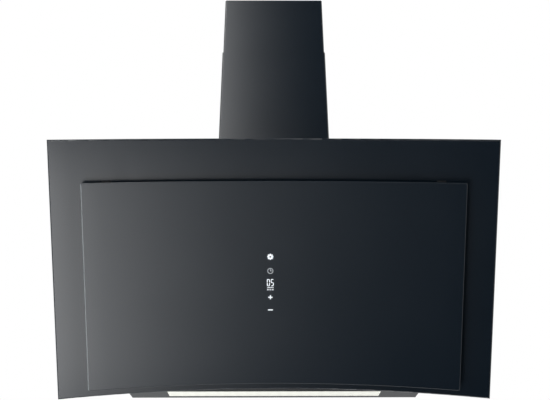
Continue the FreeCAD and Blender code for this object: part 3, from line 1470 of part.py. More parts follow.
# ---------------------------------------------------------------- build
def main():
    os.makedirs(OUT, exist_ok=True)

    # canopy
    save("rear_panel", tilted(rear_panel()))
    save("window_frame", tilted(window_frame()))
    save("window_frame_screws", *[tilted(piece) for piece in frame_screws()])
    save("body_casing", body_casing())
    save("casing_ends", casing_end(-1), casing_end(1))

    # glass door
    save("front_glass", tilted(glass()))
    save("glass_carrier", tilted(glass_carrier()))
    leaf = hinge_leaf()
    save("hinge_leaves", tilted(mirrored(leaf)), tilted(leaf))
    bracket = hinge_bracket()
    save("hinge_brackets", tilted(mirrored(bracket)), tilted(bracket))
    pin = hinge_pin()
    save("hinge_pins", tilted(mirrored(pin)), tilted(pin))
    save("rubber_buffers", *[tilted(piece) for piece in buffers()])
    save("magnet_catches", *[tilted(piece) for piece in magnets()])
    save("strike_plates", *[tilted(piece) for piece in strikes()])

    # touch control
    save("display_module", tilted(display_module()))
    save("touch_mask", tilted(touch_mask()))
    save("touch_board", tilted(touch_board()))
    save("touch_cover", tilted(touch_cover()))

    # filters
    for name, x in zip(("left", "right"), filter_middles()):
        save("filter_frame_" + name, tilted(filter_frame(x)))
        save("filter_mesh_" + name, tilted(filter_mesh(x)))
        save("filter_latch_" + name, tilted(filter_latch(x)))
    save("filter_hook_strip", tilted(hook_strip()))

    # lamp
    save("lamp_lens", lamp_lens())
    save("lamp_tray", lamp_tray())
    save("led_board", led_board())

    # motor casing and blower
    save("motor_casing", motor_casing())
    save("motor_casing_front", motor_casing_front())
    save("motor_casing_top", motor_casing_top())
    save("motor_casing_screws", *tower_screws())
    save("volute_left", volute_half(-1))
    save("volute_right", volute_half(1))
    save("blower_wheel", blower_wheel())
    save("motor", motor())
    save("motor_shaft", motor_shaft())
    save("motor_bracket", motor_bracket())
    save("motor_grommets", *grommets())
    save("capacitor", capacitor())
    save("capacitor_clip", capacitor_clip())

    # outlet
    save("outlet_collar", outlet_collar())
    save("outlet_collar_screws", *collar_screws())
    save("flap_pins", *flap_pins())
    save("flap_front", flap(-1))
    save("flap_rear", flap(1))

    # flue covers
    save("lower_flue", lower_flue())
    save("flue_locators", *flue_locators())
    save("upper_flue", upper_flue())
    save("ceiling_bracket", ceiling_bracket())
    save("flue_screws", *flue_screw_shapes())

    # electrics
    save("power_box", power_box())
    save("power_board", power_board())
    save("power_cover", power_cover())
    save("mains_gland", mains_gland())
    save("lamp_driver", lamp_driver())


main()
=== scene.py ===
# %% [markdown]
# # A wall-hung range hood with a curved glass front
#
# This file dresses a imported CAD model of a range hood. The CAD nodes already have their right size and
# place, so they keep their meshes and get better materials. Only what a solid can't show well is modelled
# anew: the lit symbols on the glass, the drawn mesh in the grease filters, the screws' heads and threads,
# and the rounded edges of the hinge brackets. Everything is in metres, in the CAD model's frame: X along
# the wall, Y into the wall, Z up.

# %% Load the frame
import json
import math

import bpy
from mathutils import Matrix, Vector


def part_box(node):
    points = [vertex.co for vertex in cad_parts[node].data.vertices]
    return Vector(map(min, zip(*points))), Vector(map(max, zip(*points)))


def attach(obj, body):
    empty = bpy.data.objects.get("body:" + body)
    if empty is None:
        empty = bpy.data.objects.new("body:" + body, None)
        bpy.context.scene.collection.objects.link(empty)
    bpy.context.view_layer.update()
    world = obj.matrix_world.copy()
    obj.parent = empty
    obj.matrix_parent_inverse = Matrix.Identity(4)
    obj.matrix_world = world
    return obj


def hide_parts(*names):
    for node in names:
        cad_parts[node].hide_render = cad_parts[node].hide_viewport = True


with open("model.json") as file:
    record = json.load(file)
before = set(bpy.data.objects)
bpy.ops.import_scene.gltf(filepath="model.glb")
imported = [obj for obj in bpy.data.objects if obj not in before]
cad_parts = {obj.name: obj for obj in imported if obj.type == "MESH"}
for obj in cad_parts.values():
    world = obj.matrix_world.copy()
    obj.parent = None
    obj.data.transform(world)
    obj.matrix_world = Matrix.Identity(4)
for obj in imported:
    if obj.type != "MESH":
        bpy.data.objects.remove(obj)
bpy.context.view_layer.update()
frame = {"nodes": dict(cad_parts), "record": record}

nodes = frame["nodes"]
bpy.ops.object.select_all(action="DESELECT")

# %% [markdown]
# ## The camera
#
# The photograph looks up at the canopy from below the lower corners, as a cook would. The numbers come from
# fitting a pinhole camera to the edges of the canopy and the flue. A camera could be aimed with a Track To
# constraint, but a plain matrix keeps the small roll that the fit found. It takes three directions that
# stand square to each other: ahead, right and up.

# %% Camera directions
YAW = math.radians(0.26)
PITCH = math.radians(28.82)
ROLL = math.radians(-0.156)

ahead = Vector((
    math.sin(YAW) * math.cos(PITCH),
    math.cos(YAW) * math.cos(PITCH),
    math.sin(PITCH),
))
level_right = ahead.cross(Vector((0, 0, 1))).normalized()
level_up = level_right.cross(ahead)
right = math.cos(ROLL) * level_right + math.sin(ROLL) * level_up
up = math.cos(ROLL) * level_up - math.sin(ROLL) * level_right
print("looking", [round(value, 3) for value in ahead])

# %% [markdown]
# The lens follows from the photograph's width and the fitted focal length, both in pixels. It could be
# matched by eye, but then the canopy's bend and the flue's taper would never both fit.

# %% Camera
PHOTO_WIDTH = 550
FOCAL_PIXELS = 697.4
SENSOR_MM = 36.0
EYE = Vector((-0.0039, -1.5838, -0.5959))
lens = bpy.data.cameras.new("photo_camera")
lens.sensor_width = SENSOR_MM
lens.lens = FOCAL_PIXELS / PHOTO_WIDTH * SENSOR_MM
lens.clip_start = 0.01
lens.clip_end = 60.0
camera = bpy.data.objects.new("photo_camera", lens)
bpy.context.scene.collection.objects.link(camera)
camera.matrix_world = Matrix((
    (right.x, up.x, -ahead.x, EYE.x),
    (right.y, up.y, -ahead.y, EYE.y),
    (right.z, up.z, -ahead.z, EYE.z),
    (0, 0, 0, 1),
))
bpy.context.scene.camera = camera
bpy.context.scene.view_settings.view_transform = "Standard"
print("lens", round(lens.lens, 2), "mm")

# %% [markdown]
# ## Helpers for node trees
#
# A material or a world is a small network of nodes. Each node could be added, set and linked in lines of its
# own, but that soon hides what the network does. With these helpers, one call adds a node, types its plain
# inputs and links the others.

# %% Node helpers


def place(tree, kind, inputs=None, **settings):
    """Adds a node, changes its settings, and types or links its inputs by name or number."""
    node = tree.nodes.new(kind)
    for key, value in settings.items():
        setattr(node, key, value)
    for key, source in (inputs or {}).items():
        if isinstance(source, bpy.types.NodeSocket):
            tree.links.new(source, node.inputs[key])
        else:
            node.inputs[key].default_value = source
    return node


def calculate(tree, operation, *values):
    """Adds a Math node on numbers or sockets, and gives its result."""
    return place(tree, "ShaderNodeMath", dict(enumerate(values)), operation=operation).outputs[0]


print("node helpers: place, calculate")

# %% [markdown]
# Vectors need helpers of their own: one scales a vector or a colour, and two give a point's place in Object
# coordinates. UV maps could carry the patterns too, but a CAD mesh has none, and Object coordinates need
# no unwrapping.

# %% Vector helpers


def scaled(tree, vector, factor):
    """Adds a Vector Math node that scales a vector or a colour, and gives its result."""
    return place(
        tree, "ShaderNodeVectorMath", {0: vector, "Scale": factor}, operation="SCALE"
    ).outputs[0]


def object_spot(tree):
    """The socket that says where a point lies, in Object coordinates."""
    return place(tree, "ShaderNodeTexCoord").outputs["Object"]


def object_axes(tree):
    """The same, as three sockets for X, Y and Z."""
    return place(tree, "ShaderNodeSeparateXYZ", {0: object_spot(tree)}).outputs


print("vector helpers: scaled, object_spot, object_axes")

# %% [markdown]
# ## Light
#
# The photograph has a white background. It would be simplest to make the whole world white, but that would
# wash the black surfaces out. So the world is white only for rays that come from the camera, off a mirror or
# through something clear, and gives the rest a plain soft fill.

# %% World
FILL_STRENGTH = 0.62


def seen_rays(tree):
    """A socket that is 1 for rays of the camera, mirrors and clear things, and 0 for the light itself."""
    rays = place(tree, "ShaderNodeLightPath").outputs
    seen = calculate(tree, "MAXIMUM", rays["Is Camera Ray"], rays["Is Glossy Ray"])
    return calculate(tree, "MAXIMUM", seen, rays["Is Transmission Ray"])


world = bpy.data.worlds.new("studio")
bpy.context.scene.world = world
world.use_nodes = True
wires = world.node_tree
wires.nodes.clear()
white = place(wires, "ShaderNodeBackground", {"Color": (1, 1, 1, 1), "Strength": 1.0})
fill = place(wires, "ShaderNodeBackground", {"Color": (0.93, 0.97, 1.0, 1), "Strength": FILL_STRENGTH})
choose = place(wires, "ShaderNodeMixShader", {
    0: seen_rays(wires), 1: fill.outputs[0], 2: white.outputs[0],
})
place(wires, "ShaderNodeOutputWorld", {"Surface": choose.outputs[0]})
print("world: white when seen, fill", FILL_STRENGTH)

# %% [markdown]
# Satin black shows little but what it mirrors. In the photograph both the flue and the canopy fade from a
# soft grey at the left to nearly black at the right. A photographer gets that with a feathered softbox: a
# large sheet that is bright at the left and falls off to black at the right. A plain area lamp could do it
# too, but its hard edge would show in the finish.

# %% Silk of a softbox
SOFT_END = 0.24


def silk(name, lit_height, radiance, edge, falloff):
    """An emission that is full left of an edge, and falls off exponentially to the right of it."""
    material = bpy.data.materials.new(name)
    material.use_nodes = True
    tree = material.node_tree
    tree.nodes.clear()
    axes = object_axes(tree)
    beyond = calculate(tree, "MAXIMUM", calculate(tree, "SUBTRACT", axes[0], edge), 0.0)
    fade = calculate(tree, "EXPONENT", calculate(tree, "MULTIPLY", beyond, -1 / falloff))
    ends = place(tree, "ShaderNodeMapRange", {
        "Value": calculate(tree, "ABSOLUTE", axes[1]),
        "From Min": lit_height / 2 - SOFT_END, "From Max": lit_height / 2 + SOFT_END,
        "To Min": radiance, "To Max": 0.0,
    }, interpolation_type="SMOOTHSTEP")
    strength = calculate(tree, "MULTIPLY", fade, ends.outputs[0])
    glow = place(tree, "ShaderNodeEmission", {"Strength": strength})
    place(tree, "ShaderNodeOutputMaterial", {"Surface": glow.outputs[0]})
    return material


print("silk: soft over", 2 * SOFT_END, "m at its upper and lower ends")

# %% [markdown]
# The flue mirrors what is level with it in front, and the canopy mirrors what is below the camera, so each
# has a sheet of its own. One huge sheet could serve both, but then one fade could not be tuned without the
# other.

# %% Two feathered softboxes
FLUE_FACE = (0, -0.27, 0.45)
CANOPY_FACE = (0, -0.27, -0.05)


def facing(where, target):
    """A matrix at a place whose -Z axis looks at the target, with X kept level."""
    turn = (Vector(target) - Vector(where)).to_track_quat("-Z", "Y")
    return Matrix.Translation(where) @ turn.to_matrix().to_4x4()


def feathered_softbox(name, centre, target, left, right, height, **feather):
    """A sheet that lights a target and shows in its finish, and that the camera can't see."""
    bpy.ops.mesh.primitive_plane_add(size=1, location=((left + right) / 2, 0, 0))
    sheet = bpy.context.object
    sheet.name = name
    sheet.scale = (right - left, height, 1)
    bpy.ops.object.transform_apply(location=True, rotation=False, scale=True)
    sheet.matrix_world = facing(centre, target)
    sheet.visible_camera = False
    sheet.visible_shadow = False
    sheet.visible_transmission = False
    sheet.data.materials.append(silk(name, **feather))
    sheet.select_set(False)
    print(name, round(right - left, 2), "by", height, "m")


feathered_softbox(
    "softbox_flue", (0, -1.45, 1.38), FLUE_FACE, left=-0.80, right=1.05, height=1.9,
    lit_height=1.34, radiance=5.6, edge=-0.35, falloff=0.11,
)
feathered_softbox(
    "softbox_canopy", (0, -1.14, -1.08), CANOPY_FACE, left=-0.75, right=1.05, height=2.0,
    lit_height=1.15, radiance=5.8, edge=-0.27, falloff=0.080,
)

# %% [markdown]
# ## The floor
#
# The hood hangs about 1.6 m above the floor, which the camera can't see from below. It is there for the
# other views: a plain pale sheet that takes the object's soft shadow. A brighter paint could make it paler,
# but would throw light up at the hood. A little glow that only the camera, mirrors and clear things see
# does not.

# %% Floor
FLOOR_Z = -1.86
FLOOR_SIZE = 14
FLOOR_GLOW = 0.28
bpy.ops.mesh.primitive_plane_add(size=FLOOR_SIZE, location=(0, 0, FLOOR_Z))
floor = bpy.context.object
floor.name = "floor"
floor_paint = bpy.data.materials.new("floor")
floor_paint.use_nodes = True
floor_tree = floor_paint.node_tree
floor_shader = floor_tree.nodes["Principled BSDF"]
floor_shader.inputs["Base Color"].default_value = (0.80, 0.80, 0.79, 1)
floor_shader.inputs["Roughness"].default_value = 0.9
floor_shader.inputs["Emission Color"].default_value = (1, 1, 1, 1)
floor_glow = calculate(floor_tree, "MULTIPLY", seen_rays(floor_tree), FLOOR_GLOW)
floor_tree.links.new(floor_glow, floor_shader.inputs["Emission Strength"])
floor.data.materials.append(floor_paint)
floor.select_set(False)
print("floor at", FLOOR_Z)

# %% [markdown]
# ## Shared effects
#
# Several finishes share an effect, such as the grain of paint. It could be copied into each material, but a
# node group is built once and placed in each with its own values. Every group here works alike: masks
# that swing round zero vary the roughness and the tint, and a third pattern is the height for a Bump node.

# %% Group helpers


def new_effect(name, inputs):
    """A shader node group with inputs at their defaults, and a colour, a roughness and a height out."""
    group = bpy.data.node_groups.new(name, "ShaderNodeTree")
    for label, value in inputs.items():
        kind = "NodeSocketColor" if isinstance(value, tuple) else "NodeSocketFloat"
        socket = group.interface.new_socket(label, in_out="INPUT", socket_type=kind)
        socket.default_value = value
    for label, kind in (("Color", "Color"), ("Roughness", "Float"), ("Height", "Float")):
        group.interface.new_socket(label, in_out="OUTPUT", socket_type="NodeSocket" + kind)
    start = group.nodes.new("NodeGroupInput")
    end = group.nodes.new("NodeGroupOutput")
    return group, start.outputs, end.inputs


def round_zero(group, mask):
    """Moves a mask from 0..1 to -0.5..0.5."""
    return calculate(group, "SUBTRACT", mask, 0.5)


def close_effect(group, start, end, rough_by, tint_by, height):
    """Varies the roughness and the tint by two masks, and links all that the group puts out."""
    rough = calculate(group, "MULTIPLY_ADD", rough_by, start["Spread"], start["Roughness"])
    shade = calculate(group, "MULTIPLY_ADD", tint_by, start["Tint Spread"], 1.0)
    group.links.new(scaled(group, start["Tint"], shade), end["Color"])
    group.links.new(rough, end["Roughness"])
    group.links.new(height, end["Height"])
    print("group", group.name, "with", len(group.nodes), "nodes")


# %% [markdown]
# *Paint grain* is the fine orange peel of a powder coat. One noise could do, but real paint has soft ripples
# with a finer tooth on them, so there are two, and a third, slow one for the drift of the shine.

# %% Paint grain group
TOOTH_SHARE = 0.35
paint_grain, start, end = new_effect("paint_grain", {
    "Ripple Scale": 520.0, "Tooth Scale": 2600.0, "Roughness": 0.33, "Spread": 0.05,
    "Tint": (0.010, 0.012, 0.015, 1), "Tint Spread": 0.12,
})
spot = object_spot(paint_grain)
ripple = place(paint_grain, "ShaderNodeTexNoise", {
    "Vector": spot, "Scale": start["Ripple Scale"], "Detail": 2.0, "Roughness": 0.5,
})
tooth = place(paint_grain, "ShaderNodeTexNoise", {
    "Vector": spot, "Scale": start["Tooth Scale"], "Detail": 1.0, "Roughness": 0.5,
})
cloud = place(paint_grain, "ShaderNodeTexNoise", {
    "Vector": spot, "Scale": 7.0, "Detail": 3.0, "Roughness": 0.55,
})
peel = calculate(
    paint_grain, "MULTIPLY_ADD", tooth.outputs["Fac"], TOOTH_SHARE, ripple.outputs["Fac"]
)
swing = round_zero(paint_grain, cloud.outputs["Fac"])
close_effect(paint_grain, start, end, rough_by=swing, tint_by=swing, height=peel)

# %% [markdown]
# *Rolled metal* has fine lines along one direction, left by rolling and brushing. An anisotropic shine could
# hint at them, but from close by the lines themselves have to show. So a noise is stretched: its coordinates
# are multiplied by a large number across the lines and a small one along them. A slower noise adds stains.

# %% Rolled metal group
rolled_metal, start, end = new_effect("rolled_metal", {
    "Across": 900.0, "Along": 12.0, "Roughness": 0.34, "Spread": 0.12,
    "Tint": (0.6, 0.6, 0.6, 1), "Tint Spread": 0.10,
})
spot = object_spot(rolled_metal)
stretch = place(rolled_metal, "ShaderNodeCombineXYZ", {
    0: start["Along"], 1: start["Across"], 2: start["Across"],
})
stretched = place(rolled_metal, "ShaderNodeVectorMath", {
    0: spot, 1: stretch.outputs[0],
}, operation="MULTIPLY")
lines = place(rolled_metal, "ShaderNodeTexNoise", {
    "Vector": stretched.outputs[0], "Scale": 1.0, "Detail": 3.0, "Roughness": 0.6,
})
stain = place(rolled_metal, "ShaderNodeTexNoise", {
    "Vector": spot, "Scale": 18.0, "Detail": 3.0, "Roughness": 0.6,
})
swing = round_zero(rolled_metal, lines.outputs["Fac"])
both = calculate(rolled_metal, "ADD", round_zero(rolled_metal, stain.outputs["Fac"]), swing)
close_effect(rolled_metal, start, end, rough_by=swing, tint_by=both, height=lines.outputs["Fac"])

# %% [markdown]
# *Spangle* is the frosty pattern of zinc crystals on galvanised sheet. Noise would give clouds, but crystals
# have borders. Voronoi cells of 8 mm come close, each with its own brightness and roughness, and with their
# borders bent by a little noise.

# %% Spangle group
BORDER_BEND = 0.006
spangle, start, end = new_effect("spangle", {
    "Cells": 130.0, "Roughness": 0.42, "Spread": 0.10, "Tint": (0.60, 0.61, 0.62, 1),
    "Tint Spread": 0.14,
})
spot = object_spot(spangle)
bend = place(spangle, "ShaderNodeTexNoise", {"Vector": spot, "Scale": 60.0, "Detail": 2.0})
moved = place(spangle, "ShaderNodeVectorMath", {
    0: spot, 1: scaled(spangle, bend.outputs["Color"], BORDER_BEND),
}, operation="ADD")
cells = place(spangle, "ShaderNodeTexVoronoi", {
    "Vector": moved.outputs[0], "Scale": start["Cells"],
})
each = place(spangle, "ShaderNodeSeparateColor", {0: cells.outputs["Color"]})
swing = round_zero(spangle, each.outputs[0])
close_effect(spangle, start, end, rough_by=swing, tint_by=swing, height=each.outputs[1])

# %% [markdown]
# *Moulded skin* is the spark-eroded texture of injection moulded plastic, with faint flow marks. Its pits
# could be a noise as well, but the distance inside small Voronoi cells is rounder, as sparks leave it.

# %% Moulded skin group
moulded_skin, start, end = new_effect("moulded_skin", {
    "Pit Scale": 1500.0, "Roughness": 0.52, "Spread": 0.10, "Tint": (0.4, 0.4, 0.4, 1),
    "Tint Spread": 0.08,
})
spot = object_spot(moulded_skin)
pits = place(moulded_skin, "ShaderNodeTexVoronoi", {
    "Vector": spot, "Scale": start["Pit Scale"],
})
flow = place(moulded_skin, "ShaderNodeTexNoise", {
    "Vector": spot, "Scale": 22.0, "Detail": 3.0, "Distortion": 1.2,
})
swing = round_zero(moulded_skin, flow.outputs["Fac"])
close_effect(
    moulded_skin, start, end, rough_by=swing, tint_by=swing, height=pits.outputs["Distance"]
)

# %% [markdown]
# ## Finishes
#
# Each finish is a Principled shader fed by one of the groups. Each could be wired by hand, but they all have
# the same shape, so one function makes them. Numbers that are the same all over, such as how strongly a
# paint mirrors, are typed on the shader itself.

# %% A finish from a group


def finish_from(name, group, values, bump, depth, **plain):
    """A material whose colour, roughness and bump come from a group; plain inputs are set as they are."""
    material = bpy.data.materials.new(name)
    material.use_nodes = True
    tree = material.node_tree
    shader = tree.nodes["Principled BSDF"]
    effect = tree.nodes.new("ShaderNodeGroup")
    effect.node_tree = group
    for label, value in values.items():
        effect.inputs[label].default_value = value
    tree.links.new(effect.outputs["Color"], shader.inputs["Base Color"])
    tree.links.new(effect.outputs["Roughness"], shader.inputs["Roughness"])
    relief = place(tree, "ShaderNodeBump", {
        "Height": effect.outputs["Height"], "Strength": bump, "Distance": depth,
    })
    tree.links.new(relief.outputs["Normal"], shader.inputs["Normal"])
    for label, value in plain.items():
        shader.inputs[label.replace("_", " ")].default_value = value
    print("finish", name, "from", group.name)
    return material


# %% [markdown]
# The canopy sheet, the flue covers and the casing are powder-coated steel, and so are the matt black parts
# behind them: the glass's carrier, the hinges and the duct frame. The black is a little blue, and nearly all
# of its brightness in the photograph is mirrored light. A lighter paint could give that brightness too, but
# it would stay grey where the softboxes fade.

# %% Painted steel
BLACK_TINT = (0.0045, 0.0100, 0.0170, 1)
black_sheet = finish_from(
    "black_sheet", paint_grain,
    {"Tint": BLACK_TINT, "Roughness": 0.21, "Spread": 0.04}, 0.25, 0.00004,
    Specular_IOR_Level=0.57,
)
flue_sheet = finish_from(
    "flue_sheet", paint_grain,
    {"Tint": BLACK_TINT, "Roughness": 0.23, "Spread": 0.04}, 0.25, 0.00004,
    Specular_IOR_Level=0.60,
)
black_steel = finish_from(
    "black_steel", paint_grain,
    {"Tint": (0.007, 0.008, 0.009, 1), "Roughness": 0.50, "Spread": 0.08}, 0.35, 0.00005,
    Specular_IOR_Level=0.25,
)
casing_sheet = finish_from(
    "casing_sheet", paint_grain,
    {"Tint": (0.085, 0.086, 0.090, 1), "Roughness": 0.55, "Spread": 0.08, "Tint Spread": 0.06},
    0.35, 0.00005, Specular_IOR_Level=0.25,
)

# %% [markdown]
# The glass is black-enamelled on its back and satin-etched on its front, so it mirrors as softly as the
# paint. A clear shader over a black one could be built, but nothing of the depth would show through the
# etching. Its grain is a slow ripple in place of the paint's peel.

# %% Black glass
black_glass = finish_from(
    "black_glass", paint_grain,
    {"Tint": BLACK_TINT, "Roughness": 0.20, "Spread": 0.03,
     "Ripple Scale": 40.0, "Tooth Scale": 3200.0, "Tint Spread": 0.05},
    0.10, 0.00002, Specular_IOR_Level=0.60,
)

# %% [markdown]
# The upright edges of the pane are ground to a pencil shape. Only the left one is painted pale: a thin
# line of painted highlight, brighter than bare ground glass, where the light from the left falls on it.
# The right one keeps the enamel's black. The pane is one CAD node, so the line is a mask on Object X:
# nothing over the face, and full over the last millimetre and a half at the left. An edge colour could come
# from a second material slot, but the CAD node has only one and its mesh stays as it is.

# %% Ground edge with a painted highlight
PANE_HALF = 0.383
GROUND_WIDTH = 0.0016
GROUND_FADE = 0.0003
# Painted highlight: a pale grey for the left ground edge, lighter than bare ground glass, where the light
# falls.
GROUND_AND_HIGHLIGHT_COLOUR = (0.25, 0.27, 0.28, 1)
GROUND_ROUGHER = 0.30
tree = black_glass.node_tree
glass_shader = tree.nodes["Principled BSDF"]
# The mask covers the left edge only, so its pale line is painted highlight as well as ground glass.
ground_and_highlight = place(tree, "ShaderNodeMapRange", {
    "Value": object_axes(tree)[0],
    "From Min": GROUND_WIDTH + GROUND_FADE - PANE_HALF, "From Max": GROUND_WIDTH - PANE_HALF,
}).outputs["Result"]
enamel = next(node for node in tree.nodes if node.type == "GROUP")
edge_and_highlight_colour = place(tree, "ShaderNodeMix", {
    0: ground_and_highlight, 6: enamel.outputs["Color"], 7: GROUND_AND_HIGHLIGHT_COLOUR,
}, data_type="RGBA")
tree.links.new(edge_and_highlight_colour.outputs[2], glass_shader.inputs["Base Color"])
edge_rough = calculate(tree, "MULTIPLY_ADD", ground_and_highlight, GROUND_ROUGHER, enamel.outputs["Roughness"])
tree.links.new(edge_rough, glass_shader.inputs["Roughness"])
print("ground edge:", GROUND_WIDTH * 1000, "mm wide")

# %% [markdown]
# The bare metals are galvanised sheet on the motor casing and the lamp tray, steel on the motor, its shaft
# and the screws, and aluminium on the filters. A grey paint looks much the same in soft light, but only a
# metallic shader mirrors in the metal's own colour.

# %% Bare metals
galvanised = finish_from("galvanised", spangle, {}, 0.15, 0.00003, Metallic=1.0)
steel_part = finish_from(
    "steel_part", rolled_metal,
    {"Tint": (0.56, 0.56, 0.57, 1), "Roughness": 0.30}, 0.2, 0.00002, Metallic=1.0,
)
filter_alu = finish_from(
    "filter_alu", rolled_metal,
    {"Tint": (0.78, 0.79, 0.80, 1), "Roughness": 0.30, "Spread": 0.14}, 0.25, 0.00003, Metallic=1.0,
)

# %% [markdown]
# The latches, the gland and the outlet collar are black plastic, and the blower's housing, the flaps and the
# power box are grey. The wheel and the catches' cases are darker, and the buffers and grommets are rubber.
# They could all share one grey, but each has its own tint and shine, and rubber is the roughest, with
# larger pits.

# %% Plastics and rubber
black_plastic = finish_from(
    "black_plastic", moulded_skin,
    {"Tint": (0.022, 0.022, 0.023, 1), "Roughness": 0.50}, 0.35, 0.00005,
)
grey_plastic = finish_from(
    "grey_plastic", moulded_skin,
    {"Tint": (0.40, 0.41, 0.42, 1), "Roughness": 0.52}, 0.35, 0.00005,
)
wheel_plastic = finish_from(
    "wheel_plastic", moulded_skin,
    {"Tint": (0.085, 0.085, 0.09, 1), "Roughness": 0.48}, 0.3, 0.00005,
)
magnet_case = finish_from(
    "magnet_case", moulded_skin,
    {"Tint": (0.10, 0.10, 0.10, 1), "Roughness": 0.45}, 0.3, 0.00004,
)
rubber = finish_from(
    "rubber", moulded_skin,
    {"Tint": (0.018, 0.018, 0.018, 1), "Roughness": 0.80, "Spread": 0.12, "Pit Scale": 900.0},
    0.5, 0.00008,
)

# %% [markdown]
# The capacitor's can and the lamp driver are white, the circuit boards are green or white, and the display
# is dark. Solder and tracks could be drawn on the boards, but they are shut in, so a mottled lacquer is
# enough.

# %% Electrical parts
can_white = finish_from(
    "can_white", moulded_skin,
    {"Tint": (0.78, 0.78, 0.76, 1), "Roughness": 0.32, "Tint Spread": 0.04}, 0.12, 0.00003,
)
board_green = finish_from(
    "board_green", moulded_skin,
    {"Tint": (0.025, 0.16, 0.06, 1), "Roughness": 0.38, "Tint Spread": 0.3}, 0.2, 0.00004,
)
board_white = finish_from(
    "board_white", moulded_skin,
    {"Tint": (0.82, 0.82, 0.80, 1), "Roughness": 0.40, "Tint Spread": 0.05}, 0.2, 0.00003,
)
display = finish_from(
    "display", moulded_skin,
    {"Tint": (0.010, 0.010, 0.012, 1), "Roughness": 0.15, "Spread": 0.04}, 0.05, 0.00002,
)

# %% [markdown]
# The opal lens is lit from inside by a row of LEDs. A lit plastic could be modelled with a lamp behind a
# translucent sheet, but an emission that swells a little over each LED looks the same and stays clean.

# %% Opal lens
LED_PITCH = 0.0226
LED_SWELL = 0.06
LAMP_COLOUR = (0.70, 0.70, 0.60)
opal = finish_from(
    "opal", moulded_skin,
    {"Tint": (0.84, 0.83, 0.78, 1), "Roughness": 0.38, "Tint Spread": 0.03}, 0.10, 0.00002,
    Emission_Strength=0.50,
)
tree = opal.node_tree
phase = calculate(tree, "MULTIPLY", object_axes(tree)[0], 2 * math.pi / LED_PITCH)
swell = calculate(
    tree, "MULTIPLY_ADD", calculate(tree, "COSINE", phase), LED_SWELL, 1 - LED_SWELL
)
glow = scaled(tree, LAMP_COLOUR, swell)
tree.links.new(glow, tree.nodes["Principled BSDF"].inputs["Emission Color"])
print("lamp: an LED every", round(LED_PITCH * 1000, 1), "mm")

# %% [markdown]
# ## Dressing the CAD nodes
#
# Every node names its material slot in the record. The nodes could be dressed one by one, but a table from
# slot to finish does all of them and misses none. Only the material in a node's slot is swapped, so its mesh
# stays untouched.

# %% Dress
finishes = {
    "black_sheet": black_sheet, "black_glass": black_glass, "flue_sheet": flue_sheet,
    "casing_sheet": casing_sheet, "galvanised": galvanised, "steel_part": steel_part,
    "black_steel": black_steel, "filter_alu": filter_alu, "black_plastic": black_plastic,
    "grey_plastic": grey_plastic, "wheel_plastic": wheel_plastic, "opal": opal,
    "board_green": board_green, "board_white": board_white, "rubber": rubber,
    "magnet": magnet_case, "can_white": can_white, "display": display,
}
for part in frame["record"]["subparts"]:
    node = nodes[part["node"]]
    for slot in node.material_slots:
        slot.material = finishes[part["material_slot"]]

# %% [markdown]
# ## The canopy's own frame
#
# The canopy leans out by 36.6 degrees and is bent round an axis that stands 1.9 m out from it. Pieces that
# lie on it could be placed point by point, but it is easier to draw them in a flat frame, X across, Y up
# the slope and Z out towards the cook, and to lay them on with one matrix.

# %% Canopy frame
TILT = math.radians(36.6)
FOOT = Vector((0, -0.110, -0.2597))
BEND_RADIUS = 1.9
AXIS_OUT = 1.84593
GLASS_FRONT_LIFT = 0.028
slope_frame = Matrix.Translation(FOOT) @ Matrix.Rotation(math.radians(90) + TILT, 4, "X")


def glass_front(across):
    """How far out the front of the glass stands at a place across the canopy."""
    radius = BEND_RADIUS - GLASS_FRONT_LIFT
    return AXIS_OUT - math.sqrt(radius ** 2 - across ** 2)


print("glass front in the middle:", round(glass_front(0) * 1000, 2), "mm out")

# %% [markdown]
# Four jobs come back for every new piece: applying its modifiers, joining its parts, laying it in its place
# and giving it a finish. They could be written out each time, but a helper also leaves everything deselected
# for the next step. A finished piece keeps its origin at the world's, as the CAD nodes do, because the
# patterns of the finishes start from there.

# %% Piece helpers


def apply_modifiers(piece):
    """Applies each modifier of a piece, in order."""
    bpy.context.view_layer.objects.active = piece
    piece.select_set(True)
    for modifier in list(piece.modifiers):
        bpy.ops.object.modifier_apply(modifier=modifier.name)
    piece.select_set(False)


def join(pieces, name):
    """Joins pieces into one object that keeps the first one's origin, and names it and its mesh."""
    bpy.ops.object.select_all(action="DESELECT")
    for piece in pieces:
        piece.select_set(True)
    bpy.context.view_layer.objects.active = pieces[0]
    if len(pieces) > 1:
        bpy.ops.object.join()
    whole = bpy.context.view_layer.objects.active
    whole.name = name
    whole.data.name = name
    whole.select_set(False)
    return whole


def settle(piece, frame_matrix):
    """Lays a piece drawn in the flat on the given frame and leaves its origin at the world's."""
    bpy.ops.object.select_all(action="DESELECT")
    piece.matrix_world = frame_matrix @ piece.matrix_world
    piece.select_set(True)
    bpy.context.view_layer.objects.active = piece
    bpy.ops.object.transform_apply(location=True, rotation=True, scale=True)
    piece.select_set(False)


def wear(piece, material):
    """Gives a piece one finish."""
    piece.data.materials.clear()
    piece.data.materials.append(material)


print("piece helpers: apply_modifiers, join, settle, wear")

# %% [markdown]
# ## Touch symbols
#
# The controls are printed and lit through the glass, in a column a little left of its middle: a light with
# rays, a clock, a two-digit display, a plus and a minus. They could be drawn in the glass material, but a
# thin mesh stays sharp at any distance. All of them are built from two flat shapes, and the first is a ring:
# a disc whose face is inset, and then removed.

# %% Flat ring
SYMBOL_X = -0.0079
film_base = glass_front(SYMBOL_X)


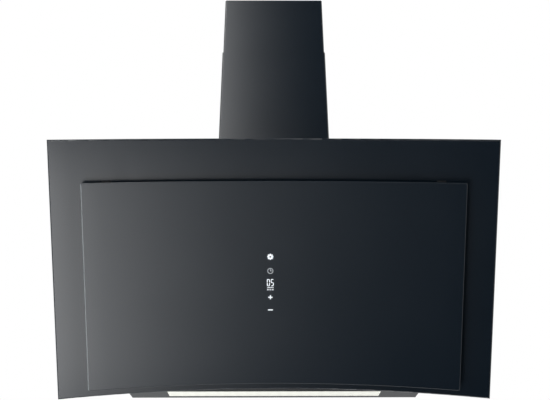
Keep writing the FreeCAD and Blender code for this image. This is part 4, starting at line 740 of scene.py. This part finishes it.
def flat_ring(outer, inner, sides, y):
    """A flat ring: a disc whose face is inset and its middle removed."""
    bpy.ops.mesh.primitive_circle_add(
        vertices=sides, radius=outer, fill_type="NGON", location=(SYMBOL_X, y, film_base)
    )
    piece = bpy.context.object
    bpy.ops.object.mode_set(mode="EDIT")
    bpy.ops.mesh.select_all(action="SELECT")
    bpy.ops.mesh.inset(thickness=outer - inner)
    bpy.ops.mesh.delete(type="FACE")
    bpy.ops.object.mode_set(mode="OBJECT")
    piece.select_set(False)
    return piece


print("symbols stand", round(film_base * 1000, 2), "mm out, at", SYMBOL_X * 1000, "mm across")

# %% [markdown]
# The second shape is a bar. A plane would do from afar, but printed bars have no sharp corners, so each
# corner is cut by a bevel in proportion to the bar.

# %% Flat bar
CORNER_SHARE = 0.22


def flat_bar(width, height, x, y, turn=0.0):
    """A flat bar with its corners cut."""
    bpy.ops.mesh.primitive_plane_add(size=1, location=(0, 0, 0))
    piece = bpy.context.object
    piece.scale = (width, height, 1)
    bpy.ops.object.transform_apply(location=False, rotation=False, scale=True)
    bpy.ops.object.mode_set(mode="EDIT")
    bpy.ops.mesh.select_all(action="SELECT")
    bpy.ops.mesh.bevel(offset=min(width, height) * CORNER_SHARE, segments=2, affect="VERTICES")
    bpy.ops.object.mode_set(mode="OBJECT")
    piece.matrix_world = Matrix.Translation((x, y, film_base)) @ Matrix.Rotation(turn, 4, "Z")
    piece.select_set(False)
    return piece


print("bars: corners cut by", CORNER_SHARE, "of their narrow side")

# %% [markdown]
# A symbol is drawn flat, and the pane is bent. Its points could be worked out from the radius, but a
# Shrinkwrap modifier finds them on the real pane. Solidify then makes it a film a few hundredths of a
# millimetre proud of the glass, which keeps it from flickering against the pane.

# %% Film on the pane
FILM = 0.00005


def film_on(piece, pane, thickness):
    """Presses a flat drawing on a pane's faces and gives it the thickness of a film."""
    press = piece.modifiers.new("press", "SHRINKWRAP")
    press.target = pane
    press.wrap_method = "NEAREST_SURFACEPOINT"
    press.wrap_mode = "ABOVE_SURFACE"
    press.offset = thickness / 2
    thicken = piece.modifiers.new("thicken", "SOLIDIFY")
    thicken.thickness = thickness
    thicken.offset = 1.0
    apply_modifiers(piece)


print("film:", FILM * 1000, "mm")

# %% [markdown]
# The light symbol is a thick ring with eight short rays. It could be one outline, filled, but a ring and
# eight turned bars are quicker and can be tuned one by one.

# %% Light symbol
LIGHT_Y = 0.2980
LIGHT_RING = 0.0050
LIGHT_HOLE = 0.0019
RAY_REACH = 0.0056
RAYS = 8
light_parts = [flat_ring(LIGHT_RING, LIGHT_HOLE, 48, LIGHT_Y)]
for step in range(RAYS):
    angle = step * math.tau / RAYS
    light_parts.append(flat_bar(
        0.0020, 0.0024,
        SYMBOL_X + RAY_REACH * math.cos(angle), LIGHT_Y + RAY_REACH * math.sin(angle), angle,
    ))
print("light symbol:", len(light_parts), "pieces")

# %% [markdown]
# The clock is a thin ring with two hands. It could be a curve with a thickness, but a ring and two bars give
# the same drawing. The hands lie over each other in the middle, which isn't seen, because both are the same
# film.

# %% Clock symbol
CLOCK_Y = 0.2682
CLOCK_RING = 0.0060
CLOCK_HOLE = 0.0048
clock_parts = [
    flat_ring(CLOCK_RING, CLOCK_HOLE, 48, CLOCK_Y),
    flat_bar(0.0012, 0.0042, SYMBOL_X, CLOCK_Y + 0.0016),
    flat_bar(0.0034, 0.0012, SYMBOL_X + 0.0014, CLOCK_Y - 0.0001),
]
print("clock symbol:", len(clock_parts), "pieces")

# %% [markdown]
# The display has two digits of seven bars each, a line under them and three small marks. A text object could
# write the number, but a font has no seven-bar digits. So each digit is a list of lit bars, lettered as on
# any such display: a to f clockwise from the top, and g in the middle.

# %% Number display
DIGIT_Y = 0.2433
DIGIT_HEIGHT = 0.0150
DIGIT_WIDTH = 0.0062
DIGIT_STEP = 0.0080
STROKE = 0.0016
LINE_Y = 0.2331
MARK_Y = 0.2286
LIT = {"0": "abcdef", "5": "acdfg"}
bar_places = {
    "a": (0, 1, 0), "d": (0, -1, 0), "g": (0, 0, 0),
    "b": (1, 0.5, 1), "c": (1, -0.5, 1), "e": (-1, -0.5, 1), "f": (-1, 0.5, 1),
}
digit_parts = []
for digit, middle in (("0", SYMBOL_X - DIGIT_STEP / 2), ("5", SYMBOL_X + DIGIT_STEP / 2)):
    for name in LIT[digit]:
        side, rise, upright = bar_places[name]
        length = (DIGIT_HEIGHT / 2 if upright else DIGIT_WIDTH) - STROKE * 1.15
        width, height = (STROKE, length) if upright else (length, STROKE)
        digit_parts.append(flat_bar(
            width, height,
            middle + side * (DIGIT_WIDTH - STROKE) / 2,
            DIGIT_Y + rise * (DIGIT_HEIGHT - STROKE) / 2,
        ))
digit_parts.append(flat_bar(0.0140, 0.0011, SYMBOL_X, LINE_Y))
mark_parts = [
    flat_bar(0.0038, 0.0036, SYMBOL_X + step * 0.0050, MARK_Y) for step in (-1, 0, 1)
]
print("display:", len(digit_parts), "bars and", len(mark_parts), "marks")

# %% [markdown]
# The plus could be two crossed bars, but where they cross the films would lie in the same place. So it is
# one long bar with a short one above and one below. The minus is a single bar.

# %% Plus and minus
PLUS_Y = 0.2121
MINUS_Y = 0.1850
sign_parts = [
    flat_bar(0.0092, 0.0021, SYMBOL_X, PLUS_Y),
    flat_bar(0.0021, 0.0035, SYMBOL_X, PLUS_Y + 0.0029),
    flat_bar(0.0021, 0.0035, SYMBOL_X, PLUS_Y - 0.0029),
    flat_bar(0.0104, 0.0023, SYMBOL_X, MINUS_Y),
]
print("plus and minus:", len(sign_parts), "bars")

# %% [markdown]
# The symbols are lit from behind, some at full strength and some dimmed. Lamps behind the pane could light
# them, but the enamel would block them, so the films glow a little themselves: a white one and a grey one.

# %% Symbol finishes
SYMBOL_LIGHT = (0.85, 0.92, 1.0, 1)
white_film = finish_from(
    "white_film", moulded_skin,
    {"Tint": (0.82, 0.83, 0.84, 1), "Roughness": 0.35, "Tint Spread": 0.04}, 0.05, 0.00001,
    Emission_Color=SYMBOL_LIGHT, Emission_Strength=0.45,
)
grey_film = finish_from(
    "grey_film", moulded_skin,
    {"Tint": (0.42, 0.43, 0.45, 1), "Roughness": 0.35, "Tint Spread": 0.04}, 0.05, 0.00001,
    Emission_Color=SYMBOL_LIGHT, Emission_Strength=0.18,
)

# %% [markdown]
# Every bar could be a piece of its own, but what shares a finish is easier to handle as one piece. Both
# pieces are parented to the empty of the glass door's body.

# %% Symbols on the glass
bright_symbols = join(light_parts + sign_parts + digit_parts, "touch_symbols_bright")
dim_symbols = join(clock_parts + mark_parts, "touch_symbols_dim")
for symbols, film in ((bright_symbols, white_film), (dim_symbols, grey_film)):
    settle(symbols, slope_frame)
    film_on(symbols, nodes["front_glass"], FILM)
    wear(symbols, film)
    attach(symbols, "glass_door")
print("symbols:", len(bright_symbols.data.polygons) + len(dim_symbols.data.polygons), "faces")

# %% [markdown]
# ## Grease filters
#
# Each filter holds a pack of expanded aluminium: sheets that were slit and drawn out until they became a
# lattice of diamonds, laid on each other so that the air has to wind through. The CAD node is a plain plate
# with openings. A texture with holes would look flat from the side, so the lattice is real: a grid turned
# by 45 degrees and stretched, cut to the frame's groove, with each diamond inset and its middle taken out.

# %% Expanded sheet
PACK_HALF = 0.13875
PACK_LENGTH = 0.354
STRAND = 0.0015
STRAND_THICK = 0.0009


def expanded_sheet(long_way, short_way, lift):
    """A lattice of diamonds in the flat, with its middle at the origin and its back at a lift."""
    count = math.ceil(2 * PACK_HALF / long_way + PACK_LENGTH / short_way) + 2
    bpy.ops.mesh.primitive_grid_add(x_subdivisions=count, y_subdivisions=count, size=count)
    sheet = bpy.context.object
    sheet.data.transform(Matrix.Rotation(math.radians(45), 4, "Z"))
    sheet.scale = (long_way / math.sqrt(2), short_way / math.sqrt(2), 1)
    bpy.ops.object.transform_apply(location=False, rotation=False, scale=True)
    bpy.ops.object.mode_set(mode="EDIT")
    for normal, reach in (((1, 0), PACK_HALF), ((0, 1), PACK_LENGTH / 2)):
        for side in (-1, 1):
            bpy.ops.mesh.select_all(action="SELECT")
            bpy.ops.mesh.bisect(
                plane_co=(side * normal[0] * reach, side * normal[1] * reach, 0),
                plane_no=(side * normal[0], side * normal[1], 0), clear_outer=True,
            )
    bpy.ops.mesh.select_all(action="SELECT")
    bpy.ops.mesh.inset(thickness=STRAND / 2, use_individual=True)
    bpy.ops.mesh.delete(type="FACE")
    bpy.ops.object.mode_set(mode="OBJECT")
    sheet.location = (0, 0, lift)
    thicken = sheet.modifiers.new("thicken", "SOLIDIFY")
    thicken.thickness = STRAND_THICK
    thicken.offset = 1.0
    apply_modifiers(sheet)
    return sheet


print("strands", STRAND * 1000, "mm wide and", STRAND_THICK * 1000, "mm thick")

# %% [markdown]
# A pack has three sheets, and the middle one lies across the others. One thick sheet would be lighter, but
# one could look straight through it. The second pack could be a copy of the first, but each takes its place
# from its own CAD node.

# %% Two packs
PACK_FOOT = 0.062
PACK_BACK = -0.06982
PACK_DEPTH = 0.005
PACK_PLAY = 0.0002
for name in ("filter_mesh_left", "filter_mesh_right"):
    sheets = [
        expanded_sheet(0.014, 0.008, PACK_PLAY),
        expanded_sheet(0.009, 0.015, PACK_DEPTH / 2 - STRAND_THICK / 2),
        expanded_sheet(0.014, 0.008, PACK_DEPTH - STRAND_THICK - PACK_PLAY),
    ]
    pack = join(sheets, name + "_pack")
    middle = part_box(name)[0][0] + PACK_HALF
    settle(pack, slope_frame @ Matrix.Translation((middle, PACK_FOOT + PACK_LENGTH / 2, PACK_BACK)))
    wear(pack, filter_alu)
    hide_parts(name)
    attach(pack, "hood")

# %% [markdown]
# ## Screws
#
# The CAD screws are plain stacks of two cylinders. A real one has a shaped head with a cross recess and a
# rolled thread. The body is turned as on a lathe: a profile is drawn point by point and spun round the axis.
# A cylinder could be cut into the shape too, but a profile holds the whole outline in one list.

# %% Lathe
SCREW_STEPS = 20


def turned(profile, steps):
    """A body of revolution round Z from (radius, height) points that start and end on the axis."""
    bpy.ops.mesh.primitive_plane_add(size=1)
    piece = bpy.context.object
    bpy.ops.object.mode_set(mode="EDIT")
    bpy.ops.mesh.merge(type="CENTER")
    bpy.ops.transform.translate(value=(profile[0][0], 0, profile[0][1]))
    for low, high in zip(profile, profile[1:]):
        bpy.ops.mesh.extrude_region_move(
            TRANSFORM_OT_translate={"value": (high[0] - low[0], 0, high[1] - low[1])}
        )
    bpy.ops.mesh.select_all(action="SELECT")
    bpy.ops.mesh.spin(steps=steps, angle=math.tau, center=(0, 0, 0), axis=(0, 0, 1))
    bpy.ops.mesh.select_all(action="SELECT")
    bpy.ops.mesh.remove_doubles(threshold=0.00001)
    bpy.ops.mesh.normals_make_consistent(inside=False)
    bpy.ops.object.mode_set(mode="OBJECT")
    bpy.ops.object.shade_smooth_by_angle(angle=math.radians(32))
    piece.select_set(False)
    return piece


print("lathe:", SCREW_STEPS, "steps round")

# %% [markdown]
# The thread is rolled into the shank. A Screw modifier would give a true helix, but at this size closed
# ridges look the same and stay light. They are part of the same profile.

# %% Thread profile
THREAD_PITCH = 0.0008
THREAD_ROOT = 0.72


def thread(radius, foot, top):
    """Profile points of closed ridges between two heights."""
    points = [(0, foot), (radius * THREAD_ROOT, foot)]
    ridges = round((top - foot) / THREAD_PITCH)
    pitch = (top - foot) / ridges
    for step in range(ridges):
        points.append((radius, foot + (step + 0.5) * pitch))
        points.append((radius * THREAD_ROOT, foot + (step + 1) * pitch))
    return points


print("thread pitch", THREAD_PITCH * 1000, "mm")

# %% [markdown]
# The cross recess is pressed in by a tapered punch. It could be a dark decal, but a real hollow catches the
# light. It is cut with Boolean modifiers from two crossed blades whose lower faces are drawn in.

# %% Cross recess
BLADE_SHARE = 0.34
BLADE_TAPER = 0.6


def cross_cutter(reach, top, depth):
    """Two crossed blades that narrow downwards."""
    blades = []
    thin = reach * BLADE_SHARE
    for width, length in ((thin, reach * 2), (reach * 2, thin)):
        bpy.ops.mesh.primitive_cube_add(size=1, location=(0, 0, top))
        blade = bpy.context.object
        blade.scale = (width, length, 2 * depth)
        bpy.ops.object.transform_apply(location=False, rotation=False, scale=True)
        bpy.ops.object.mode_set(mode="EDIT")
        bpy.ops.mesh.select_all(action="DESELECT")
        bpy.ops.object.mode_set(mode="OBJECT")
        for face in blade.data.polygons:
            face.select = face.normal.z < -0.5
        bpy.ops.object.mode_set(mode="EDIT")
        bpy.ops.transform.resize(value=(BLADE_TAPER, BLADE_TAPER, 1))
        bpy.ops.object.mode_set(mode="OBJECT")
        blades.append(blade)
    return blades


def recess(screw, reach, top, depth):
    """Cuts the cross into a head."""
    for blade in cross_cutter(reach, top, depth):
        cut = screw.modifiers.new("cut", "BOOLEAN")
        cut.object = blade
        cut.solver = "EXACT"
        apply_modifiers(screw)
        bpy.data.objects.remove(blade)
    print(screw.name, "with its recess:", len(screw.data.polygons), "faces")


# %% [markdown]
# The pan-head screw holds sheet metal: a low dome on a threaded shank. A sphere cut in half would be too
# high, so the dome is a few points of the profile, with a small round at its rim.

# %% Pan-head screw
HEAD_RADIUS = 0.0040
HEAD_HEIGHT = 0.0024
SHANK_RADIUS = 0.0020
SHANK_REACH = 0.0060
pan_screw = turned(thread(SHANK_RADIUS, -SHANK_REACH, 0) + [
    (HEAD_RADIUS * 0.96, 0), (HEAD_RADIUS, 0.0003), (HEAD_RADIUS * 0.97, 0.0011),
    (HEAD_RADIUS * 0.82, 0.0019), (HEAD_RADIUS * 0.5, 0.0023), (0, HEAD_HEIGHT),
], SCREW_STEPS)
recess(pan_screw, 0.0021, HEAD_HEIGHT, 0.0013)

# %% [markdown]
# The flue's screws are countersunk, because the outer cover slides past them. The head is a cone that ends
# flush with the sheet. Its radius is read from the CAD node's box, so that it fills the same countersink.

# %% Countersunk screw
flue_low, flue_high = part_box("flue_screws")
FLUSH_RADIUS = (flue_high[2] - flue_low[2]) / 2
FLUSH_HEAD = 0.0016
FLUSH_REACH = 0.0060
FLUSH_DISH = 0.0001
flush_screw = turned(thread(SHANK_RADIUS, -FLUSH_REACH, -FLUSH_HEAD) + [
    (FLUSH_RADIUS, 0), (FLUSH_RADIUS * 0.6, -FLUSH_DISH), (0, -FLUSH_DISH),
], SCREW_STEPS)
recess(flush_screw, 0.0019, 0, 0.0012)

# %% [markdown]
# A seat is a matrix that stands where a head meets its sheet, with Z out of the sheet. The screws could be
# placed by eye, but they have to sit in the CAD's holes, so the numbers are those of the CAD model. The
# collar's screws are a little smaller, which its seats say with a scale.

# %% Seats of all the screws
FRAME_SEAT_X = 0.3112
FRAME_SEAT_LIFT = -0.07086
CASING_SEAT_X = 0.1118
CASING_FRONT_Y = -0.258
CASING_RIM_Z = 0.1812
COLLAR_MIDDLE_Y = -0.155
COLLAR_TOP_Z = 0.4125
COLLAR_REACH = 0.0815 / math.sqrt(2)
COLLAR_SIZE = Matrix.Diagonal((0.95, 0.95, 0.83, 1))
quarter_turn = math.radians(90)
frame_seats = [
    slope_frame @ Matrix.Translation((side * FRAME_SEAT_X, up_slope, FRAME_SEAT_LIFT))
    for side in (-1, 1) for up_slope in (0.1244, 0.2390, 0.3536)
]
casing_seats = [
    Matrix.Translation((side * CASING_SEAT_X, y, CASING_RIM_Z))
    for side in (-1, 1) for y in (-0.228, -0.035)
] + [
    Matrix.Translation((side * CASING_SEAT_X, CASING_FRONT_Y, z))
    @ Matrix.Rotation(quarter_turn, 4, "X")
    for side in (-1, 1) for z in (0.210, 0.380)
]
collar_seats = [
    Matrix.Translation((x * COLLAR_REACH, COLLAR_MIDDLE_Y + y * COLLAR_REACH, COLLAR_TOP_Z))
    @ COLLAR_SIZE
    for x in (-1, 1) for y in (-1, 1)
]
flue_middle = (Vector(flue_low) + Vector(flue_high)) / 2
flue_seats = [
    Matrix.Translation((side * flue_high[0], flue_middle.y, flue_middle.z))
    @ Matrix.Rotation(quarter_turn * side, 4, "Y")
    for side in (-1, 1)
]
print("seats:", len(frame_seats), len(casing_seats), len(collar_seats), len(flue_seats))

# %% [markdown]
# Each screw is modelled once and copied to its seats. Linked copies would be lighter, but the export wants
# a mesh of its own for each, so the mesh is copied too. The copies that stand for one CAD node are joined.

# %% Set the screws


def in_mm(corner):
    """A corner in millimetres, rounded for reading."""
    return [round(value * 1000, 1) for value in corner]


def set_screws(pattern, seats, node, body, material):
    """One copy of the screw on each seat, joined into the piece that stands for a CAD node."""
    copies = []
    for seat in seats:
        copy = pattern.copy()
        copy.data = pattern.data.copy()
        bpy.context.scene.collection.objects.link(copy)
        copy.matrix_world = Matrix()
        copy.data.transform(seat)
        copies.append(copy)
    whole = join(copies, node + "_turned")
    wear(whole, material)
    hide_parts(node)
    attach(whole, body)
    spots = [whole.matrix_world @ Vector(corner) for corner in whole.bound_box]
    low = in_mm(min(spot[axis] for spot in spots) for axis in range(3))
    high = in_mm(max(spot[axis] for spot in spots) for axis in range(3))
    cad_low, cad_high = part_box(node)
    print(whole.name, len(whole.data.polygons), "faces", low, high)
    print("   CAD", in_mm(cad_low), in_mm(cad_high))


set_screws(pan_screw, frame_seats, "window_frame_screws", "hood", steel_part)
set_screws(pan_screw, casing_seats, "motor_casing_screws", "hood", steel_part)
set_screws(pan_screw, collar_seats, "outlet_collar_screws", "hood", steel_part)
set_screws(flush_screw, flue_seats, "flue_screws", "upper_cover", black_steel)
for pattern in (pan_screw, flush_screw):
    bpy.data.objects.remove(pattern)

# %% [markdown]
# ## Hinge brackets
#
# The brackets are pressed from thick sheet, so their edges are a little round. They could be modelled anew,
# but the CAD shape is right apart from that. The CAD mesh itself is left alone, so a copy of it is worked
# on. It comes as loose triangles, which are merged first.

# %% Copy of the brackets
brackets = nodes["hinge_brackets"].copy()
brackets.data = nodes["hinge_brackets"].data.copy()
brackets.name = "hinge_brackets_pressed"
brackets.data.name = "hinge_brackets_pressed"
bpy.context.scene.collection.objects.link(brackets)
bpy.ops.object.select_all(action="DESELECT")
bpy.context.view_layer.objects.active = brackets
brackets.select_set(True)
bpy.ops.object.mode_set(mode="EDIT")
bpy.ops.mesh.select_all(action="SELECT")
bpy.ops.mesh.remove_doubles(threshold=0.00001)
bpy.ops.mesh.customdata_custom_splitnormals_clear()
bpy.ops.mesh.select_all(action="DESELECT")
bpy.ops.object.mode_set(mode="OBJECT")
print("brackets:", len(brackets.data.vertices), "points after merging")

# %% [markdown]
# When the glass is fully open, the carrier's rear edge comes within a hair of the round tops of the ears.
# The whole ear could be made smaller, but the pin's bore has to stay. So only the points that lie on the
# round top are drawn in towards the hinge's axis, by a quarter of a millimetre.

# %% Ear tops drawn in
AXIS_Y = -0.363578
AXIS_Z = 0.103783
EAR_RADIUS = 0.0055
EAR_DRAW = 0.955
ON_TOP = 0.00015
on_top = 0
for vertex in brackets.data.vertices:
    reach = math.hypot(vertex.co.y - AXIS_Y, vertex.co.z - AXIS_Z)
    vertex.select = abs(reach - EAR_RADIUS) < ON_TOP
    on_top += vertex.select
bpy.ops.object.mode_set(mode="EDIT")
bpy.ops.transform.resize(value=(1, EAR_DRAW, EAR_DRAW), center_override=(0, AXIS_Y, AXIS_Z))
bpy.ops.mesh.select_all(action="SELECT")
bpy.ops.mesh.dissolve_limited(angle_limit=math.radians(1))
bpy.ops.object.mode_set(mode="OBJECT")
print("brackets:", on_top, "points drawn in")

# %% [markdown]
# A Bevel modifier rounds the sharp edges. The edges could be picked by hand, but a limit on their angle
# finds them all and leaves the round tops and bores alone.

# %% Rounded edges
EDGE_ROUND = 0.00025
round_edges = brackets.modifiers.new("round", "BEVEL")
round_edges.width = EDGE_ROUND
round_edges.segments = 2
round_edges.limit_method = "ANGLE"
round_edges.angle_limit = math.radians(40)
apply_modifiers(brackets)
brackets.select_set(True)
bpy.ops.object.shade_smooth_by_angle(angle=math.radians(35))
brackets.select_set(False)
wear(brackets, black_steel)
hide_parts("hinge_brackets")
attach(brackets, "hood")
print("brackets:", len(brackets.data.polygons), "faces")
